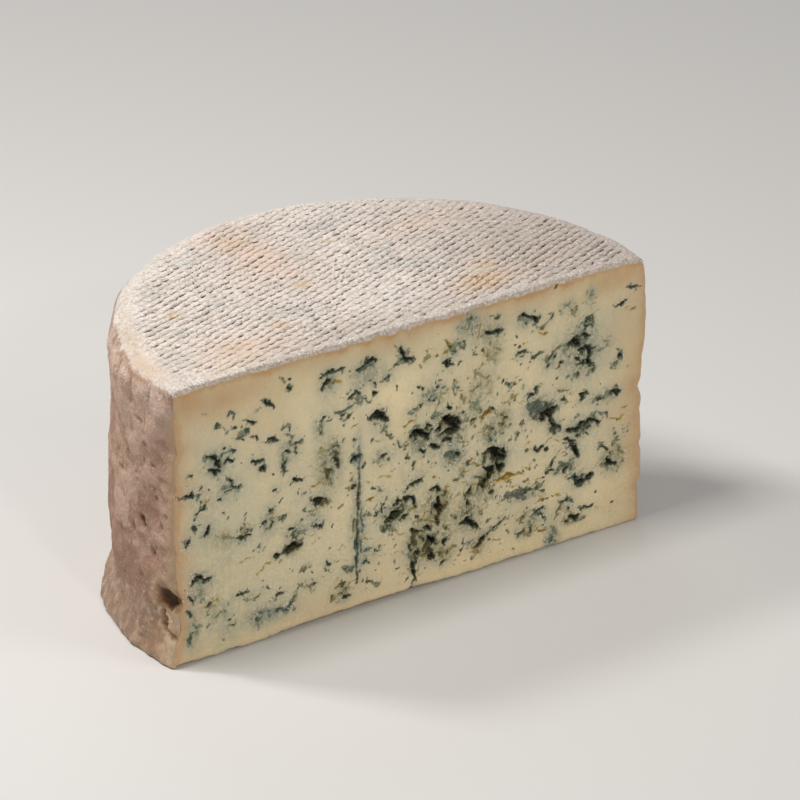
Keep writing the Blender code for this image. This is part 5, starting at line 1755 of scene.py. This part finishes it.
def sideFace():
    length = math.pi * planReach(0.0)
    edge = wheel["cornerEdge"]
    inset = setBack(edge)
    back = np.clip(edgeSteps(length, sideRind["step"], edge), inset, length - inset)
    back = np.unique(np.round(back, 4))
    rows = np.linspace(0.0, 1.0, round(wheel["height"] / sideRind["step"])) ** 1.02
    turn = (math.pi * (1.0 - back / length))[None, :] + np.zeros((len(rows), 1))
    low = 0.02
    climb = low + rows[:, None] * (wallClimb(turn, math.pi / 2 - wheel["seam"] + wheel["overlap"]) - low)
    distance, height, lean = sideSkin(turn, climb)
    a = back[None, :] + np.zeros_like(turn)
    fromEnd = np.minimum(a, length - a)
    x, y = planPoint(turn, distance)
    fromTop = math.pi / 2 - lean
    upright = ramp(fromTop, wheel["seam"] + 0.05, math.pi / 2 - 0.1)
    zero = np.zeros_like(a)

    def noise(size, seed, octaves=2):
        return softNoise(a, zero, height, size, seed, octaves)

    # above a wandering line the dry rind lies over the moist foot
    slope, begin, over = sideRind["footFall"]
    rise, place, spread = sideRind["footCorner"]
    footLine = sideRind["footHeight"] - slope * np.clip(a - begin, 0.0, over)
    footLine = footLine + rise * bump(a, place, spread)
    footLine = footLine + layeredNoise(a, zero, zero, sideRind["footWaves"])
    far = ramp(a, 60.0, 110.0)
    footLine = footLine + far * (6.0 * softNoise(a, zero, zero, 21.0, 84, 2) - 1.5)
    foot = fadeOut(height, footLine - 1.3 - 3.0 * far, footLine + 0.7) * (1.0 - 0.45 * far)

    creases = ramp(ridgeNoise(a, zero, 0.6 * height, 6.0, 74), 0.80, 1.0)
    creases = creases * ramp(noise(18.0, 76, 1), 0.0, 0.5)
    folds = 0.75 * softNoise(0.6 * a, zero, height, 8.5, 75, 2)
    folds = folds + 0.36 * softNoise(0.7 * a, zero, height, 3.6, 70, 2)
    pits = np.maximum(ragBumps(a, height, sideRind["pits"]), ragBumps(a, height, furtherPits(length)))
    lumps = ragBumps(a, height, sideRind["lumps"])
    rough = softNoise(x, y, height, 1.5, 77, 2)

    ca, cz, halfA, halfZ, deep = sideRind["hollow"]
    wobbleA = a + 0.9 * noise(3.2, 78, 1) + noise(1.2, 85)
    wobbleZ = height + 0.9 * noise(3.2, 79, 1) + noise(1.2, 86)
    around = np.sqrt(((wobbleA - ca) / halfA) ** 2 + ((wobbleZ - cz) / halfZ) ** 2)
    hollow = fadeOut(around, 0.55, 1.10)
    inCrevice = insideStrokes(wobbleA.ravel(), wobbleZ.ravel(), [sideRind["crevice"]]).reshape(a.shape)
    crevice = ramp(inCrevice, -0.5, 0.8)
    torn = bump(a, 6.0, 7.0) * bump(height, 12.0, 8.0)  # broken, ragged flesh below the hollow

    relief = folds * (1.0 - 0.4 * foot) - 0.30 * creases * (1.0 - foot) + lumps - pits
    relief = relief + (0.24 + 0.08 * foot) * rough + 0.45 * (1.0 - foot) - 0.35
    # painted light and shade from the relief: high where the side stands out, low in folds and pits
    raised = ramp(folds + lumps - pits + 0.3 * rough, -0.70, 0.75)
    relief = relief + 0.6 * foot * noise(6.0, 80)
    shreds = 2.0 * softNoise(0.8 * a, zero, 0.6 * height, 2.2, 83, 2) + 0.25 * bump(inCrevice, -1.1, 0.8)
    relief = relief + torn * shreds
    grain = layeredNoise(x, y, height, wheel["grain"])
    relief = grain + upright * relief - tucked(wheel["seam"] - fromTop)
    inwards = ramp(fromEnd, inset, inset + 3.0)
    relief = relief * inwards + cornerGrain(x, height) * (1.0 - inwards) * np.cos(lean)
    relief = relief - (deep * hollow + 2.6 * crevice) * ramp(fromEnd, inset, inset + 2.6)

    pull = edgePull(fromEnd, edge)
    x, y = planPoint(turn, distance - pull + relief * np.cos(lean))
    start = np.where(a < length / 2, a, length - a)
    onEdge = -wheel["cutOffset"] + start
    y = np.where(start < 3.0, onEdge + (y - onEdge) * ramp(start, 0.5, 3.0), y)
    z = np.maximum(height + relief * np.sin(lean), wheel["lift"])
    front = pointsAt(x, y, z)

    # brown in pits, the hollow, the crevice and creases, darker the deeper they are: partly the rind's
    # own colour, partly painted shade
    brown = np.maximum.reduce([
        0.8 * ramp(pits, 0.45, 1.15),
        0.92 * fadeOut(around, 0.75, 1.15),
        0.60 * ramp(inCrevice, 0.25, 0.95),
        0.35 * creases * (1.0 - foot),
        0.30 * bump(height, footLine, 1.0) * ramp(rough, -0.3, 0.5),
        0.35 * ragBumps(a, height, sideRind["bruises"]),
    ])
    # painted light and shade: paler high up and darker low down, as light falls from above
    raised = 0.5 + (raised - 0.5 + 0.42 * ramp(height, 70.0, 92.0)) * upright
    raised = raised - 0.95 * fadeOut(height, 22.0, 48.0)
    ring = bump(around, 1.05, 0.22)
    sore = 0.55 * bump(a, 12.8, 2.6) * bump(height, 7.5, 4.2)
    golden = 0.95 * ramp(inCrevice, -0.3, 0.4) + 0.7 * torn * ramp(-rough, 0.05, 0.35)
    ringed = 0.8 * ring * ramp(rough, -0.4, 0.2)
    golden = np.maximum.reduce([golden * (1.0 - hollow), ringed, sore])
    cream = 0.85 * bump(a, 1.0, 5.0) * bump(height, 9.0, 12.0)
    cream = np.maximum(cream, 0.6 * bump(around, 1.55, 0.35))
    brown = np.clip(brown, 0.0, 1.0)
    corner = 0.90 * bump(fromEnd, inset, 3.0 + 1.6 * rough + 7.0 * bump(height, 8.0, 11.0))
    looks = {
        "foot": foot,
        "crease": brown * upright,
        **rimLooks(x, y),
        "raised": raised,
        "golden": np.clip(golden, 0.0, 1.0),
        "corner": corner * (1.0 - brown) * fadeOut(height, 84.0, 100.0),
        "broken": cream * (1.0 - brown),
        "tint": tanRim(turn, fromTop, x, y, height),
        "bloom": bloomShare(turn, fromTop, x, y, height),
        "dewGlints": foot * ramp(noise(5.0, 81), 0.0, 0.5),
    }

    # thinner next to the cut, so that nothing stands behind its openings
    thickness = sideRind["thickness"] * (0.4 + 0.6 * ramp(fromEnd, 1.0, 4.0))
    reach = np.hypot(front[..., 0], front[..., 1] + wheel["cutOffset"]) - thickness
    inner = []
    aboveTable, belowTop = sideRind["hidden"]
    for level, row in ((aboveTable, 0), (wheel["height"] - belowTop, -1)):
        px, py = planPoint(turn[row], reach[row])
        py = np.maximum(py, -wheel["cutOffset"] + 0.9)
        inner.append(pointsAt(px, py, np.full(px.shape, level)))
    return shellPiece("side_rind", front, np.array(inner), looks, rindMaterial)


sidePiece = sideFace()
print("side rind:", len(sidePiece.data.polygons), "faces")


# the base

base = {
    "cells": 130,
    "inset": 1.0,            # it ends this far inside the side,
    "behindCut": (3.0, 6.0),  # starts so far behind the cut, and evens that out over this depth
    "dishing": 0.35,
    "clearance": 0.02,
    "middle": (40.0, 50.0),  # how far behind the axis it is centred, and half its depth
    "skirt": [(0.6, 1.0), (2.0, 5.0)],  # it is closed above: so much smaller, at this height
}


def baseFace():
    across = np.linspace(-1.0, 1.0, base["cells"] + 1)
    rows = np.linspace(0.0, 1.0, base["cells"] // 2 + 1)
    share, turn = halfDisc(*np.meshgrid(across, rows))
    distance = share * (planReach(turn) + sideSwell(turn, np.zeros_like(turn)) - base["inset"])
    x, y = planPoint(turn, distance)
    gap, over = base["behindCut"]
    y = y + gap * np.exp(-(y + wheel["cutOffset"]) / over)
    zero = np.zeros_like(x)
    z = wheel["lift"] + base["dishing"] * ramp(softNoise(x, y, zero, 14.0, 91, 2), -0.2, 0.7)
    z = z * ramp(1.0 - share, 0.0, 0.04)
    front = pointsAt(x, y, z + base["clearance"])[:, ::-1]
    border = borderPoints(front)
    rings = []
    middle, halfDepth = base["middle"]
    for inset, rise in base["skirt"]:
        ring = border.copy()
        ring[:, 0] *= 1.0 - inset / wheel["radius"]
        ring[:, 1] = (border[:, 1] - middle) * (1.0 - inset / halfDepth) + middle
        ring[:, 2] = border[:, 2] * (inset < 1.0) + rise
        rings.append(ring)
    looks = {"foot": 0.7 + zero, "raised": 0.5 + zero}
    return slabPiece("base_rind", front, rings, looks, rindMaterial)


basePiece = baseFace()
print("base rind:", len(basePiece.data.polygons), "faces")


# what is scattered over it

# what a scattered piece has where its own values below don't say otherwise; sizes are in mm
lumpValues = {
    "Where": "crumbs", "Per Square Metre": 2.2e6, "Smallest": 0.22, "Largest": 0.70, "Flatness": 0.75,
    "Raggedness": 0.6, "Seed": 5, "Material": crumbMaterial,
}


def scatterTree():
    # small uneven lumps, sunk a little into the surface, where the named look says so
    tree = newTree("scattered lumps", lumpValues)
    plan = Plan(tree)
    given = plan.given
    spread = plan.add("GeometryNodeDistributePointsOnFaces", {
        "Mesh": given["Geometry"], "Seed": given["Seed"],
        "Density": plan.times(plan.attribute(given["Where"]), given["Per Square Metre"]),
    })
    lump = plan.add("GeometryNodeMeshIcoSphere", {"Radius": 1.0, "Subdivisions": 1})
    size = plan.add("FunctionNodeRandomValue", data_type="FLOAT")
    plan.join(0.0, size.inputs[2])
    plan.join(1.0, size.inputs[3])
    plan.join(given["Seed"], size.inputs["Seed"])
    radius = plan.sum("POWER", size.outputs[1], 2.2)
    difference = plan.sum("SUBTRACT", given["Largest"], given["Smallest"])
    radius = plan.sum("MULTIPLY_ADD", radius, difference, given["Smallest"])
    radius = plan.times(radius, 0.5 * mm)
    scale = plan.add("ShaderNodeCombineXYZ", {
        "X": radius, "Y": radius, "Z": plan.times(radius, given["Flatness"])})
    placed = plan.add("GeometryNodeInstanceOnPoints", {
        "Points": spread.outputs["Points"], "Instance": lump.outputs["Mesh"],
        "Rotation": spread.outputs["Rotation"], "Scale": scale.outputs[0],
    })
    real = plan.add("GeometryNodeRealizeInstances", {"Geometry": placed.outputs[0]})
    wobble = plan.add("ShaderNodeTexNoise", {"Vector": plan.places(), "Scale": 2.2, "Detail": 1.0})
    centred = plan.add("ShaderNodeVectorMath", operation="SUBTRACT")
    plan.join(wobble.outputs["Color"], centred.inputs[0])
    plan.join((0.5, 0.5, 0.5), centred.inputs[1])
    moved = plan.add("ShaderNodeVectorMath", operation="SCALE")
    plan.join(centred.outputs[0], moved.inputs[0])
    plan.join(plan.times(given["Raggedness"], mm), moved.inputs["Scale"])
    ragged = plan.add("GeometryNodeSetPosition", {
        "Geometry": real.outputs[0], "Offset": moved.outputs[0]})
    smooth = plan.add("GeometryNodeSetShadeSmooth", {"Geometry": ragged.outputs[0]})
    plan.finish(smooth.outputs[0], given["Material"])
    return tree


scattered = {
    "top_crumbs": (topPiece, "rind", {
        "Per Square Metre": 1.5e6, "Smallest": 0.25, "Largest": 0.80, "Raggedness": 0.5}),
    "edge_crumbs": (cutPiece, "rind", {"Smallest": 0.30, "Largest": 1.1, "Seed": 6}),
    "mould_tufts": (cutPiece, "paste", {
        "Where": "tufts", "Per Square Metre": 0.9e6, "Flatness": 0.8, "Seed": 7,
        "Material": sporeMaterial}),
    # painted glints: near-white beads where the cut and the foot are wet
    "whey_glint_beads": (cutPiece, "paste", {
        "Where": "dewGlints", "Per Square Metre": 2.4e6, "Largest": 0.66, "Flatness": 0.6, "Raggedness": 0.1,
        "Seed": 8, "Material": dewGlintMaterial}),
    "foot_glint_beads": (sidePiece, "rind", {
        "Where": "dewGlints", "Per Square Metre": 0.10e6, "Smallest": 0.20, "Largest": 0.60, "Flatness": 0.5,
        "Raggedness": 0.1, "Seed": 9, "Material": dewGlintMaterial}),
}


def scatterPieces():
    tree = scatterTree()
    made = []
    for name, (host, slotName, values) in scattered.items():
        mesh = runTree(host, tree, {**lumpValues, **values})
        mesh.name = name
        piece = bpy.data.objects.new(name, mesh)
        bpy.context.scene.collection.objects.link(piece)
        made.append((piece, slotName))
        print(name + ":", len(mesh.polygons), "faces")
    return made


finished = [(cutPiece, "paste"), (topPiece, "rind"), (sidePiece, "rind"), (basePiece, "rind")]
for piece, slotName in finished + scatterPieces():
    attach(piece, "root")
    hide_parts("cheese_half_wheel")

print("every piece rides on the cheese's body")
